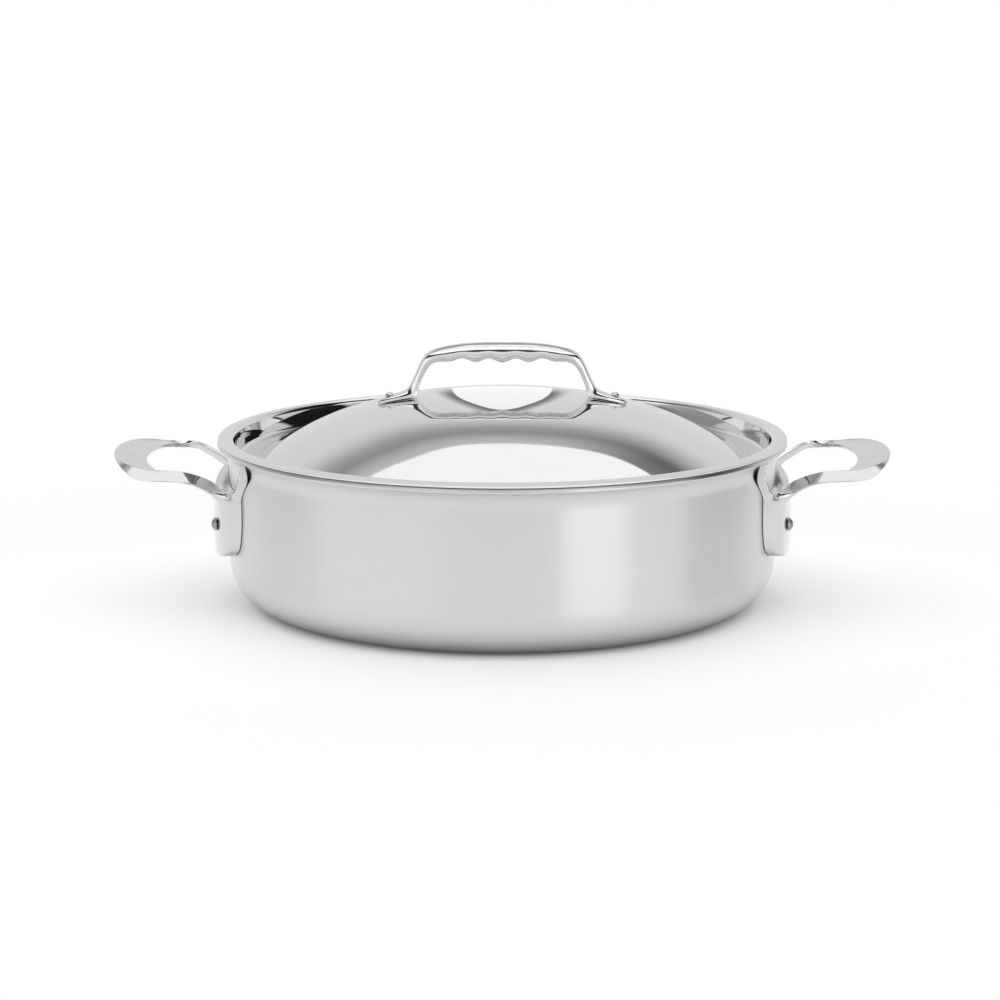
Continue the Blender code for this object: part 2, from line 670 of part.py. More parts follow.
def build():
    clear_scene()
    parts = make_collection("deep_saute_pan")
    tools = make_collection("cutters")
    tools.hide_render = True

    body_steel = make_material("satin_wall_steel", (0.66, 0.66, 0.67), 0.30)
    lid_steel = make_material("mirror_lid_steel", (0.74, 0.74, 0.75), 0.06)
    cast_steel = make_material("polished_cast_steel", (0.70, 0.70, 0.71), 0.10)
    lid_cast_steel = make_material("polished_lid_casting", (0.72, 0.72, 0.73), 0.09)
    rivet_steel = make_material("rivet_steel", (0.52, 0.52, 0.53), 0.22)
    lid_rivet_steel = make_material("lid_rivet_steel", (0.56, 0.56, 0.57), 0.20)

    pan_frame = make_empty("pan_frame", (0, 0, 0), parts)
    lid_frame = make_empty("lid_frame", (0, 0, PAN_HEIGHT), parts, pan_frame)
    to_lid = Matrix.Translation((0, 0, -PAN_HEIGHT))

    def cutter(name, profile, matrix):
        obj = bpy.data.objects.new(name, profile_mesh(name, profile))
        obj.matrix_world = matrix
        obj.hide_render = True
        obj.display_type = "WIRE"
        add_screw(obj, RIVET_STEPS)
        tools.objects.link(obj)
        return obj

    # Pan body
    pan = make_object("pan_body", profile_mesh("pan_body", pan_profile()), body_steel, parts, pan_frame)
    add_screw(pan, TURN_STEPS)
    add_solidify(pan, WALL)
    add_bevel(pan, LIP_ROUND, 2, math.radians(60))

    # Side handles
    handle_mesh = side_handle_mesh()
    handles = {}
    for name, turn in (("side_handle_left", 0), ("side_handle_right", math.pi)):
        handle = make_object(name, handle_mesh, cast_steel, parts, pan_frame)
        handle.rotation_euler.z = turn
        add_casting_modifiers(handle, "Y")
        handles[name] = handle

    # Side rivets, with the holes that they pass through
    seat = PLATE_THICKNESS - RIVET_SEAT_DEPTH
    shoulder_radius = OUTER_RADIUS + GAP + seat
    grip = shoulder_radius - INNER_RADIUS
    rivet_shape = rivet_profile(
        RIVET_SHANK, RIVET_HEAD, RIVET_HEAD_HEIGHT, RIVET_INNER_HEAD, RIVET_INNER_HEIGHT,
        grip + 3 * GAP,
    )
    rivet_mesh = profile_mesh("side_rivet", rivet_shape)
    hole = RIVET_SHANK + HOLE_CLEARANCE
    drill = drill_profile(hole, RIVET_HEAD + HOLE_CLEARANCE, 3 * RIVET_HEAD_HEIGHT, grip + 0.004)
    swing = math.asin(RIVET_SPACING / 2 / OUTER_RADIUS)
    for handle_name, way in (("side_handle_left", -1), ("side_handle_right", 1)):
        for end, sign in (("near", -1), ("far", 1)):
            direction = Vector((way * math.cos(swing), sign * math.sin(swing), 0))
            label = handle_name.replace("side_handle", "side_rivet") + "_" + end
            point = direction * shoulder_radius + Vector((0, 0, RIVET_HEIGHT))
            tool = cutter("drill_" + label, drill, axis_matrix(point, direction))
            add_cut(pan, tool)
            add_cut(handles[handle_name], tool)
            rivet = make_object(label, rivet_mesh, rivet_steel, parts, pan_frame)
            rivet.matrix_local = axis_matrix(point + direction * GAP, direction)
            add_screw(rivet, RIVET_STEPS)

    # Lid, drawn in world heights and hung from its own frame
    lid = make_object("lid_shell", profile_mesh("lid_shell", lid_profile()), lid_steel, parts, lid_frame)
    lid.data.transform(to_lid)
    add_screw(lid, TURN_STEPS)
    add_solidify(lid, LID_SHEET)

    bridge_mesh = lid_handle_mesh()
    bridge_mesh.transform(to_lid)
    bridge = make_object("lid_handle", bridge_mesh, lid_cast_steel, parts, lid_frame)
    add_casting_modifiers(bridge, "X")

    # Lid rivets stand square to the dome
    at = LID_RIVET_SPACING / 2
    tilt = dome_slope(at)
    sole = LID_FOOT_THICKNESS * 0.80
    lid_grip = sole + GAP + LID_SHEET
    lid_rivet_shape = rivet_profile(
        LID_RIVET_SHANK, LID_RIVET_HEAD, LID_RIVET_HEAD_HEIGHT,
        1.3 * LID_RIVET_HEAD, 0.5 * LID_RIVET_HEAD_HEIGHT, lid_grip + 3 * GAP,
    )
    lid_rivet_mesh = profile_mesh("lid_rivet", lid_rivet_shape)
    lid_drill = drill_profile(
        LID_RIVET_SHANK + HOLE_CLEARANCE, LID_RIVET_HEAD + HOLE_CLEARANCE,
        3 * LID_RIVET_HEAD_HEIGHT, lid_grip + 0.004,
    )
    for name, way in (("lid_rivet_left", -1), ("lid_rivet_right", 1)):
        direction = Vector((way * math.sin(tilt), 0, math.cos(tilt)))
        point = Vector((way * at, 0, dome_height(at))) + direction * (sole + GAP)
        tool = cutter("drill_" + name, lid_drill, axis_matrix(point, direction))
        add_cut(lid, tool)
        add_cut(bridge, tool)
        rivet = make_object(name, lid_rivet_mesh, lid_rivet_steel, parts, lid_frame)
        rivet.matrix_local = to_lid @ axis_matrix(point + direction * GAP, direction)
        add_screw(rivet, RIVET_STEPS)


build()
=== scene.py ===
"""Looks for the deep saute pan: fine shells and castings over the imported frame.

Metres, +Z up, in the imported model's frame. The pieces repeat the part's own sizes and
control cages, at a fineness that polished steel needs. The studio is a white floor under
a world of soft light whose bands show in the metal.
"""

import math

import bmesh
import bpy
from mathutils import Matrix, Vector


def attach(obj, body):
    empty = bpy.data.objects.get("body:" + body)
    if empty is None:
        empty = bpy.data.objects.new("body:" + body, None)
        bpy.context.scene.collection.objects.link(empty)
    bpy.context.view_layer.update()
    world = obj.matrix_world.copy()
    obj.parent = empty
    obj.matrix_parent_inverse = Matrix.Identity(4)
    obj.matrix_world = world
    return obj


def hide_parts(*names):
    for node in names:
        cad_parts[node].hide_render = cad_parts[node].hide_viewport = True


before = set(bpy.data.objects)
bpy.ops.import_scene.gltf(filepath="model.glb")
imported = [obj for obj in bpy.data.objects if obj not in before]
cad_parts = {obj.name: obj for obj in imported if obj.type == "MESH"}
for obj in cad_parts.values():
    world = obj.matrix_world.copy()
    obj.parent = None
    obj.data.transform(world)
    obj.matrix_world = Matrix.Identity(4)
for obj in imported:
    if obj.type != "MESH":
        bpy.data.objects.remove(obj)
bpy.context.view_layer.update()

# Pan body
INNER_RADIUS = 0.1400
WALL = 0.0027
PAN_HEIGHT = 0.08587
CORNER_RADIUS = 0.0238
FLARE_RADIUS = 0.0139
FLARE_ANGLE = math.radians(58)
LIP_ROUND = 0.0011

# Lid
LID_SHEET = 0.0010
LID_SEAT_GAP = 0.0003
PLUG_CLEARANCE = 0.0008
PLUG_DEPTH = 0.0122
PLUG_DRAFT = math.radians(9)
FLANGE_SLOPE = math.radians(10)
FLANGE_FILLET = 0.0028
MOAT_FILLET = 0.0023
MOAT_WIDTH = 0.0106
DOME_FILLET = 0.0030
DOME_HEIGHT = 0.0319
DOME_POWER = 2.66

# Side handles
PLATE_WIDTH = 0.1088
PLATE_HEIGHT = 0.0345
PLATE_THICKNESS = 0.0080
PLATE_EDGE = 0.0024
PLATE_CHAMFER = 0.0028
PLATE_CORNER = 0.0176
PLATE_BELOW_RIM = 0.0214
LOBE_RISE = 0.0074
PRONG_LENGTH = 0.0262
PRONG_WIDTH = 0.0046
PRONG_HEIGHT = 0.0030
PRONG_LEAN = math.radians(49)
HANDLE_REACH = 0.0592
HANDLE_SPREAD = 0.1026
HANDLE_RISE = 0.0105
GRIP_CURL = 0.0044
GRIP_WIDTH = 0.0168
GRIP_DISH = 0.0002
GRIP_CORNER = 0.0213
ARM_WIDTH = 0.0078
ARM_THICKNESS = 0.0042

# Side rivets
RIVET_SPACING = 0.0642
RIVET_HEIGHT = 0.0458
RIVET_SHANK = 0.0025
RIVET_HEAD = 0.0035
RIVET_HEAD_HEIGHT = 0.0024
RIVET_INNER_HEAD = 0.0045
RIVET_INNER_HEIGHT = 0.0012
RIVET_SEAT_DEPTH = 0.0004

# Lid handle
LID_GRIP_RISE = 0.0282
LID_GRIP_DEPTH = 0.0150
LID_GRIP_THICKNESS = 0.0101
LID_GRIP_CROWN = 0.0020
SCALLOP_PITCH = 0.0139
SCALLOP_DEPTH = 0.0020
LID_LEG_SPAN = 0.0876
LID_LEG_WIDTH = 0.0106
LID_LEG_THICKNESS = 0.0034
LID_FOOT_LENGTH = 0.0220
LID_FOOT_WIDTH = 0.0125
LID_FOOT_THICKNESS = 0.0034
LID_RIVET_SPACING = 0.1166
LID_RIVET_SHANK = 0.0016
LID_RIVET_HEAD = 0.0023
LID_RIVET_HEAD_HEIGHT = 0.0018
LID_RIVET_INNER_HEAD = 1.3 * LID_RIVET_HEAD
LID_RIVET_INNER_HEIGHT = 0.5 * LID_RIVET_HEAD_HEIGHT

# Ends of profiles: an inner rivet head's flat share, the dome's share before its fillet,
# and the width of the flange's last strip
INNER_HEAD_TOP = 0.75
DOME_END = 0.985
FLANGE_STRIP = 0.0012

# Fits and mesh fineness
GAP = 0.0003
MERGE = 0.00001
TURN_STEPS = 288
RIVET_STEPS = 40
HEAD_STEPS = 12
FLARE_STEPS = 16
WALL_STEPS = 12
CORNER_STEPS = 24
BASE_STEPS = 10
DOME_STEPS = 64
LID_FILLET_STEPS = (8, 10, 10)
CASTING_LEVELS = 4
EDGE_SEGMENTS = 4
EDGE_ANGLE = math.radians(60)
LID_EDGE_ROUND = 0.35 * LID_SHEET

# Plain colours, then steels: a dark and a light colour, the lowest and highest roughness
WHITE = (1, 1, 1)
BLACK = (0, 0, 0)
WALL_STEEL = ((0.710, 0.710, 0.725), (0.740, 0.740, 0.755), 0.29, 0.33)
LID_STEEL = ((0.72, 0.72, 0.73), (0.76, 0.76, 0.77), 0.012, 0.03)
# The side handles' casting is a darker copy of the lid's, its colour holding painted shade
SIDE_SHADED_CASTING = ((0.62, 0.62, 0.63), (0.72, 0.72, 0.73), 0.045, 0.085)
LID_CASTING = ((0.66, 0.66, 0.66), (0.76, 0.76, 0.76), 0.045, 0.085)
# The side rivets' steel is darkened by painted shade
SIDE_RIVET_SHADED_STEEL = ((0.30, 0.30, 0.31), (0.42, 0.42, 0.43), 0.30, 0.38)
LID_RIVET_STEEL = ((0.52, 0.52, 0.52), (0.66, 0.66, 0.66), 0.10, 0.20)

# Grain and clouds, in details per metre. Grain has a scale along its lines and one across.
WALL_GRAIN = (24, 2600)
WALL_CLOUD = 26
LID_GRAIN = (30, 1500)
LID_CLOUD = 40
CAST_CLOUD = 90
CAST_PORES = 900

# What height counts against radius in the grain, which part of a noise's values is used,
# and how far clouds change the wall's roughness
GRAIN_CLIMB = 1.7
NOISE_MIDDLE = (0.3, 0.7)
WALL_CLOUDING = 0.012

# Bumps, as a strength and a height in metres
WALL_BUMP = (0.015, 0.00002)
LID_BUMP = (0.25, 0.000004)
CAST_BUMP = (0.25, 0.00012)

# The wall's stretched reflections, the lid's satin flange, from how far outside the plug,
# with a painted sheen on its colour, and painted shade on its underside, by how far a face
# looks up. A span is where something fades.
WALL_STRETCH = 0.95
WALL_STRETCH_TURN = 0.25
FLANGE_SPAN = (0.0018, 0.0030)
FLANGE_ROUGHNESS = 0.40
# Painted sheen: the flange's colour is made lighter than the rest of the lid
FLANGE_PAINTED_SHEEN = (1.15, 1.15, 1.15)
UNDERSIDE_SHADE_SPAN = (-0.7, -0.2)
UNDERSIDE_PAINTED_SHADE = (0.30, 0.30, 0.30)

# The floor, in metres from the axis: the camera's painted contact shadow, then the darker painted
# shade the metal sees
FLOOR_RADIUS = 60
FLOOR_SIDES = 64
FLOOR_COLOUR = (0.95, 0.95, 0.95)
FLOOR_ROUGHNESS = 0.9
FLOOR_LIFT = 0.22
CONTACT_RADIUS = 0.115
LIFT_SHADOW_SPAN = (CONTACT_RADIUS, CONTACT_RADIUS + 0.022)
CONTACT_SHADOW_SPAN = (CONTACT_RADIUS, CONTACT_RADIUS + 0.020)
CONTACT_SHADOW_GREY = 0.20
# Painted shade on the floor that only the metal sees: darker under the pan, duller far off
METAL_SHADE_SPAN = (CONTACT_RADIUS, CONTACT_RADIUS + 0.037)
METAL_SHADE = 0.95
FAR_SPAN = (0.28, 0.90)
FAR_PAINTED_SHADE = 0.26

# Studio brightness by degrees of elevation, behind the pan and on the camera's side, and
# what it is divided by to fit in a colour ramp
BACK_BANDS = (
    (0, 0.80), (20, 0.80), (26, 0.80), (30, 0.71), (36, 0.43), (40, 0.34),
    (45, 0.57), (47.7, 0.64), (48.3, 1.20), (76, 1.20), (82, 1.8), (90, 1.8),
)
FRONT_BANDS = (
    (0, 1.25), (22, 1.25), (26, 0.50), (30, 0.05), (46, 0.05), (49, 0.20), (51, 1.5), (90, 1.8),
)
BAND_SCALE = 2
ELEVATION_SPAN = (-90, 90)
FRONT_TO_BACK = (-0.25, 0.25)

# Behind the pan, by degrees of azimuth towards +X, the bands hang higher on the left and
# lower on the right, and the dark band is deeper on the right
BEHIND_SPAN = (55, 95)
LEFT_LEAN_SPAN = (-24, -6)
LEFT_LEAN = 3.2
RIGHT_LEAN_SPAN = (6, 24)
RIGHT_LEAN = -1.2
DEEP_SIDE_SPAN = (5, 32)
DEEP_LOW_SPAN = (35, 42)
DEEP_HIGH_SPAN = (47.9, 48.6)
DEEP_BAND = 0.62

# Black flags at both sides, by azimuth and elevation, and the painted shade on the floor that
# stands in for them in the metal. Each pair of strengths is for the left and the right, which meet
# in the middle span.
FLAG_BACK_SPAN = (56, 60)
FLAG_FRONT_SPAN = (96, 102)
FLAG_FOOT_SPAN = (4, 8)
FLAG_TOP_SPAN = (44, 50)
FLAG_MIDDLE = (-1, 1)
FLAG_STRENGTHS = (0.50, 0.98)
FLAG_FLOOR_SPAN = (0.60, 0.75)
FLAG_FLOOR_MIDDLE = (-0.1, 0.1)
FLAG_FLOOR_SHADE_STRENGTHS = (0.18, 0.45)

# A narrow bright panel straight behind the pan, an ellipse in degrees, with soft dark sides
PANEL_HALF_WIDTH = 1.8
PANEL_HALF_HEIGHT = 15
PANEL_ELEVATION = 6
PANEL_LEVEL = 1.08
PANEL_EDGE = (0.96, 1.04)
FRINGE_SPAN = (1.0, 2.4)
FRINGE_STRENGTH = 0.75
FRINGE_FOOT_SPAN = (0, 8)

# A soft upright light, in degrees from the camera's side towards +X, and a painted pool of
# its light on the floor, which only the metal sees
UPRIGHT_AZIMUTH = 38.5
UPRIGHT_SPAN = (11, 15)
UPRIGHT_TOP_SPAN = (26, 48)
UPRIGHT_LIGHT = 0.58
POOL_AZIMUTH = 33
POOL_SPAN = (10, 14)
POOL_START_SPAN = (0.22, 0.42)
POOL_PAINTED_LIGHT = 0.30

# The camera's own place and the far right are duller, in degrees from the camera's side
CAMERA_PLACE = -2
CAMERA_PLACE_SPAN = (14, 34)
CAMERA_PLACE_LEVEL = 0.80
FAR_RIGHT_SPAN = (60, 76)
FAR_RIGHT_END = (100, 130)
FAR_RIGHT_DULLING = 0.10

# Camera
SENSOR_WIDTH = 36
LENS = 95.87
LENS_SHIFT = -0.0023
VIEW_END = 200
CAMERA_TILT = math.radians(11.118)
CAMERA_DISTANCE = 1.4
AIM_HEIGHT = 0.05172
DEGREES = 180 / math.pi

# Derived sizes
OUTER_RADIUS = INNER_RADIUS + WALL
MID_RADIUS = INNER_RADIUS + WALL / 2
LIP_SINK = LIP_ROUND * (math.sin(FLARE_ANGLE) + math.cos(FLARE_ANGLE) - 1)
LIP_MID_RADIUS = MID_RADIUS + FLARE_RADIUS * (1 - math.cos(FLARE_ANGLE))
LIP_MID_HEIGHT = PAN_HEIGHT + LIP_SINK - WALL / 2 * math.sin(FLARE_ANGLE)
FLARE_START = LIP_MID_HEIGHT - FLARE_RADIUS * math.sin(FLARE_ANGLE)
RIM_RADIUS = LIP_MID_RADIUS + WALL / 2 * math.cos(FLARE_ANGLE) - LIP_SINK
LIP_ARC = (
    LIP_MID_RADIUS - WALL / 2 * math.cos(FLARE_ANGLE)
    + LIP_ROUND * (math.cos(FLARE_ANGLE) - math.sin(FLARE_ANGLE)),
    PAN_HEIGHT - LIP_ROUND,
)
PLUG_FOOT_RADIUS = INNER_RADIUS - PLUG_CLEARANCE - LID_SHEET
RIVET_SHOULDER = PLATE_THICKNESS - RIVET_SEAT_DEPTH
LID_FOOT_SEAT = LID_FOOT_THICKNESS * 0.80
CREST_RADIUS = PLUG_FOOT_RADIUS + PLUG_DEPTH * math.tan(PLUG_DRAFT)


def rounded(points, radii, segments):
    """A polyline whose inner corners are replaced by arcs of the given radii."""
    result = [Vector(points[0])]
    corners = zip(points, points[1:], points[2:], radii, segments)
    for before, corner, after, radius, count in corners:
        before, corner, after = Vector(before), Vector(corner), Vector(after)
        into = (corner - before).normalized()
        out = (after - corner).normalized()
        turn = into.angle(out)
        reach = radius * math.tan(turn / 2)
        side = 1 if into.x * out.y - into.y * out.x > 0 else -1
        start = corner - into * reach
        centre = start + Vector((-into.y, into.x)) * radius * side
        for step in range(count + 1):
            swing = turn * step / count * side
            arm = start - centre
            x = arm.x * math.cos(swing) - arm.y * math.sin(swing)
            y = arm.x * math.sin(swing) + arm.y * math.cos(swing)
            result.append(centre + Vector((x, y)))
    result.append(Vector(points[-1]))
    return result


def wall_radius(height):
    """Outer radius of the pan at a height, with the flare under the lip."""
    concave = FLARE_RADIUS - WALL / 2
    climb = min(max(height - FLARE_START, 0), concave * math.sin(FLARE_ANGLE))
    return OUTER_RADIUS + concave - math.sqrt(concave**2 - climb**2)


def flange_height(radius):
    """Top of the lid flange, which clears the rounded lip by the seat gap."""
    above = LIP_ROUND + LID_SEAT_GAP + LID_SHEET
    run = radius - LIP_ARC[0]
    return LIP_ARC[1] + above / math.cos(FLANGE_SLOPE) - run * math.tan(FLANGE_SLOPE)


FLANGE_CREST = flange_height(CREST_RADIUS)
MOAT_FLOOR = FLANGE_CREST - PLUG_DEPTH
DOME_RADIUS = PLUG_FOOT_RADIUS - MOAT_WIDTH


def dome_height(radius):
    """Top surface of the lid's dome."""
    return MOAT_FLOOR + DOME_HEIGHT * (1 - (radius / DOME_RADIUS) ** DOME_POWER)


def dome_slope(radius):
    """How steeply the dome falls outwards, as an angle."""
    share = (radius / DOME_RADIUS) ** (DOME_POWER - 1)
    return math.atan(DOME_HEIGHT * DOME_POWER / DOME_RADIUS * share)


class HalfCage:
    """One half of a casting's control cage, with some edges held crisp."""

    def __init__(self):
        self.bm = bmesh.new()
        self.crease = self.bm.edges.layers.float.new("crease_edge")

    def vert(self, point):
        return self.bm.verts.new(point)

    def face(self, *corners):
        return self.bm.faces.new(corners)

    def crisp(self, loop, amount=1.0):
        for first, second in zip(loop, loop[1:]):
            edge = self.bm.edges.get((first, second))
            if edge:
                edge[self.crease] = amount

    def tube(self, first, second):
        count = len(first)
        for i in range(count):
            j = (i + 1) % count
            self.face(first[i], first[j], second[j], second[i])

    def mesh(self, name):
        bmesh.ops.recalc_face_normals(self.bm, faces=self.bm.faces)
        mesh = bpy.data.meshes.new(name)
        self.bm.to_mesh(mesh)
        self.bm.free()
        mesh.shade_smooth()
        return mesh


# Points round a casting's section, as (across, up) shares of its half sizes
SECTION = (
    (-0.92, -0.90), (0, -1), (0.92, -0.90), (1, 0),
    (0.80, 0.84), (0, 1), (-0.80, 0.84), (-1, 0),
)
# The side handle's arm slopes down and outwards from a crisp inner edge
ARM_SECTION = (
    (-0.84, -0.80), (0, -1), (0.70, -0.98), (0.98, -0.80),
    (0.86, -0.56), (0, 0.22), (-0.92, 0.98), (-1, 0.1),
)
SECTION_SWELL = 1.10


def section_ring(cage, centre, across, up, section=SECTION):
    """Cage points round a section, swollen by what subdividing takes off."""
    return [cage.vert(centre + (across * s + up * u) * SECTION_SWELL) for s, u in section]


def on_wall(arc, height, off):
    """A point that lies off the pan's outer wall, arc metres round from the -X side."""
    angle = arc / OUTER_RADIUS
    radius = wall_radius(height) + GAP + off
    return Vector((-radius * math.cos(angle), -radius * math.sin(angle), height))


# The plate's cage columns and rows, as shares of its half width and of its height
COLUMNS = (0, 0.22, 0.43, 0.64, 0.74, 0.84, 1)
ROWS = (0, 0.17, 0.50, 0.83, 0.915, 1)
END = len(COLUMNS) - 1
LAST = len(ROWS) - 1
PLATE_HALF = PLATE_WIDTH / 2
PLATE_TOP = PAN_HEIGHT - PLATE_BELOW_RIM
PLATE_BOTTOM = PLATE_TOP - PLATE_HEIGHT

# The arm grows from a hole that starts at this column and row and ends at the top row
ARM_COLUMN = 3
ARM_ROW = LAST - 2

# How the plate swells: powers, and shares of its thickness at its bottom and top rows
PILLOW_POWER = 4
LOBE_POWER = 1.6
LOBE_FOOT = 0.40
BOTTOM_FULLNESS = 0.98
LOBE_FULLNESS = 0.76
SHOULDER_FULLNESS = 0.80

# The prong: where its foot stands, then shares of its length with the inner edge's setback
PRONG_FOOT = (PLATE_HALF - 0.10 * PLATE_CHAMFER, PLATE_TOP + 0.02 * PLATE_HEIGHT)
PRONG_STATIONS = ((0.30, 0.02), (0.66, 0.10), (1.0, 0.30))
PRONG_INNER_HEIGHT = 0.45 * PRONG_HEIGHT

# The notch between prong and lobe, as shares of the half width and, above the plate's top,
# of its height, each with the metal's thickness
LEDGE = 0.8 * PLATE_EDGE
NOTCH = ((0.90, 0.020, PRONG_INNER_HEIGHT), (0.76, -0.010, LEDGE), (0.62, -0.020, LEDGE))

# The chamfer opens along the plate's bottom edge and stays narrow along its top
CHAMFER_START = 0.1
CHAMFER_GROWTH = 0.25
TOP_CHAMFER = 0.25
RIM_CREASE = 0.85


def lobe_rise(i):
    """How far the centre lobe stands above the plate's shoulders."""
    return LOBE_RISE * max(0, 1 - (COLUMNS[i] / COLUMNS[ARM_COLUMN]) ** 2) ** LOBE_POWER


def plate_point(i, j):
    """Arc, height and thickness of a cage point on the plate's outer face."""
    arc = COLUMNS[i] * PLATE_HALF
    height = PLATE_BOTTOM + ROWS[j] * PLATE_HEIGHT
    swell = (1 - COLUMNS[i] ** PILLOW_POWER) ** 0.5
    full = PLATE_EDGE + (PLATE_THICKNESS - PLATE_EDGE) * swell
    if j == 0:
        full = PLATE_EDGE + BOTTOM_FULLNESS * (full - PLATE_EDGE)
    if j == LAST:
        full *= LOBE_FULLNESS if i < ARM_COLUMN else SHOULDER_FULLNESS
        height += LOBE_FOOT * lobe_rise(i)
    if i == END:
        full = PLATE_EDGE
    centre = Vector((PLATE_HALF - PLATE_CORNER, PLATE_BOTTOM + PLATE_CORNER))
    out = Vector((arc, height)) - centre
    if out.x > 0 and out.y < 0 and out.length > PLATE_CORNER:
        arc, height = centre + out.normalized() * PLATE_CORNER
    return arc, height, full


def prong_edges():
    """Arc, height and thickness along the outer and inner edges of the leaning prong."""
    lean = Vector((math.sin(PRONG_LEAN), math.cos(PRONG_LEAN)))
    side = Vector((-lean.y, lean.x))
    outer = []
    inner = []
    for share, setback in PRONG_STATIONS:
        spine = Vector(PRONG_FOOT) + lean * PRONG_LENGTH * share
        edge = spine + side * PRONG_WIDTH - lean * PRONG_LENGTH * setback
        outer.append((spine.x, spine.y, PRONG_HEIGHT))
        inner.append((edge.x, edge.y, PRONG_INNER_HEIGHT))
    return outer, inner


def back_rim_points(points):
    """The plate's outline on the wall, which stands out past the front's by the chamfer."""
    result = []
    for k, (arc, height, _) in enumerate(points):
        before = points[max(k - 1, 0)]
        after = points[min(k + 1, len(points) - 1)]
        along = Vector((after[0] - before[0], after[1] - before[1])).normalized()
        out = Vector((along.y, -along.x))
        if arc == 0:
            out = Vector((0, -1 if k == 0 else 1))
        opening = CHAMFER_START + CHAMFER_GROWTH * max(0, k - END + 1) ** 2
        reach = PLATE_CHAMFER * min(1, opening)
        if k > END + LAST + len(PRONG_STATIONS):
            reach = TOP_CHAMFER * PLATE_CHAMFER
        result.append(on_wall(arc + out.x * reach, height + out.y * reach, 0))
    return result


def add_plate(cage):
    """The plate with its prong and lobe. Returns the ring of the hole that the arm fills."""
    front = {}
    for i in range(END + 1):
        for j in range(LAST + 1):
            front[i, j] = cage.vert(on_wall(*plate_point(i, j)))
    outline = [plate_point(i, 0) for i in range(END + 1)]
    outline += [plate_point(END, j) for j in range(1, LAST + 1)]
    prong_outer, prong_inner = prong_edges()
    notch = [(s * PLATE_HALF, PLATE_TOP + up * PLATE_HEIGHT, thick) for s, up, thick in NOTCH]
    lobe = []
    for i in range(ARM_COLUMN - 1, -1, -1):
        lobe.append((COLUMNS[i] * PLATE_HALF, PLATE_TOP + lobe_rise(i), LEDGE))

    outer = [cage.vert(on_wall(*p)) for p in prong_outer]
    inner = [cage.vert(on_wall(*p)) for p in prong_inner]
    inwards = range(END - 1, -1, -1)
    top = dict(zip(inwards, [cage.vert(on_wall(*p)) for p in notch + lobe]))

    rim_points = outline + prong_outer + prong_inner[::-1] + notch + lobe
    rim = [front[i, 0] for i in range(END + 1)] + [front[END, j] for j in range(1, LAST + 1)]
    rim += outer + inner[::-1] + [top[i] for i in inwards]
    back_rim = [cage.vert(point) for point in back_rim_points(rim_points)]
    back = dict(zip(rim, back_rim))
    for (i, j), vert in front.items():
        if vert not in back:
            arc, height, _ = plate_point(i, j)
            back[vert] = cage.vert(on_wall(arc, height, 0))

    def behind(corners):
        cage.face(*[back[v] for v in reversed(corners)])

    def both(*corners):
        cage.face(*corners)
        behind(corners)

    for i in range(END):
        for j in range(LAST):
            quad = (front[i, j], front[i + 1, j], front[i + 1, j + 1], front[i, j + 1])
            if i in (ARM_COLUMN, ARM_COLUMN + 1) and j >= ARM_ROW:
                behind(quad)
            else:
                both(*quad)
    for i in range(END - 1):
        both(front[i, LAST], front[i + 1, LAST], top[i + 1], top[i])
    both(front[END - 1, LAST], front[END, LAST], outer[0], top[END - 1])
    both(top[END - 1], outer[0], outer[1], inner[0])
    both(inner[0], outer[1], outer[2], inner[1])
    both(inner[1], outer[2], inner[2])
    for first, second in zip(rim, rim[1:]):
        cage.face(first, second, back[second], back[first])
    cage.crisp(rim, RIM_CREASE)
    cage.crisp(back_rim)
    for corner in (outer[2], inner[2]):
        cage.crisp((corner, back[corner]))
    cage.bm.verts.remove(front[ARM_COLUMN + 1, ARM_ROW + 1])
    steps = ((0, 0), (1, 0), (2, 0), (2, 1), (2, 2), (1, 2), (0, 2), (0, 1))
    return [front[ARM_COLUMN + i, ARM_ROW + j] for i, j in steps]


# The arm's root on the plate and its stations, as shares of its run, spread and rise, and
# its thickness. It goes on into the grip in the last direction.
ARM_ROOT = (0.74 * PLATE_HALF, PLATE_TOP - 0.085 * PLATE_HEIGHT, 0.5 * PLATE_THICKNESS)
ARM_FOOT_HEIGHT = PLATE_TOP - 0.04 * PLATE_HEIGHT
ARM_STATIONS = (
    (0.14, 0.800, 0.25, 1.35),
    (0.28, 0.835, 0.58, 1.30),
    (0.45, 0.905, 0.86, 1.15),
    (0.63, 0.968, 1.00, 1.05),
)
INTO_GRIP = (-1, 0.2, 0)


def add_arm(cage):
    """The arm's rings of cage points, and the centre of the last one."""
    run = HANDLE_REACH - GRIP_CORNER
    spread = HANDLE_SPREAD / 2
    line = [on_wall(*ARM_ROOT)]
    for out, away, rise, _ in ARM_STATIONS:
        height = ARM_FOOT_HEIGHT + HANDLE_RISE * rise
        line.append(Vector((-(OUTER_RADIUS + run * out), -spread * away, height)))
    rings = []
    for k, (_, _, _, thick) in enumerate(ARM_STATIONS):
        after = line[k + 2] if k + 2 < len(line) else line[k + 1] + Vector(INTO_GRIP)
        along = (after - line[k]).normalized()
        across = Vector((0, 0, 1)).cross(along).normalized()
        up = along.cross(across).normalized() * ARM_THICKNESS / 2 * thick
        rings.append(section_ring(cage, line[k + 1], across * ARM_WIDTH / 2, up, ARM_SECTION))
    return rings, line[-1]


FIT_ROUNDS = 12


def through(points):
    """Cage points whose subdivided curve passes through the given ones."""
    cage = [point.copy() for point in points]
    for _ in range(FIT_ROUNDS):
        for k in range(1, len(points) - 1):
            smooth = (cage[k - 1] + cage[k] * 4 + cage[k + 1]) / 6
            cage[k] += points[k] - smooth
        mirror = Vector((cage[-2].x, -cage[-2].y, cage[-2].z))
        cage[-1] += points[-1] - (cage[-2] + cage[-1] * 4 + mirror) / 6
    return cage


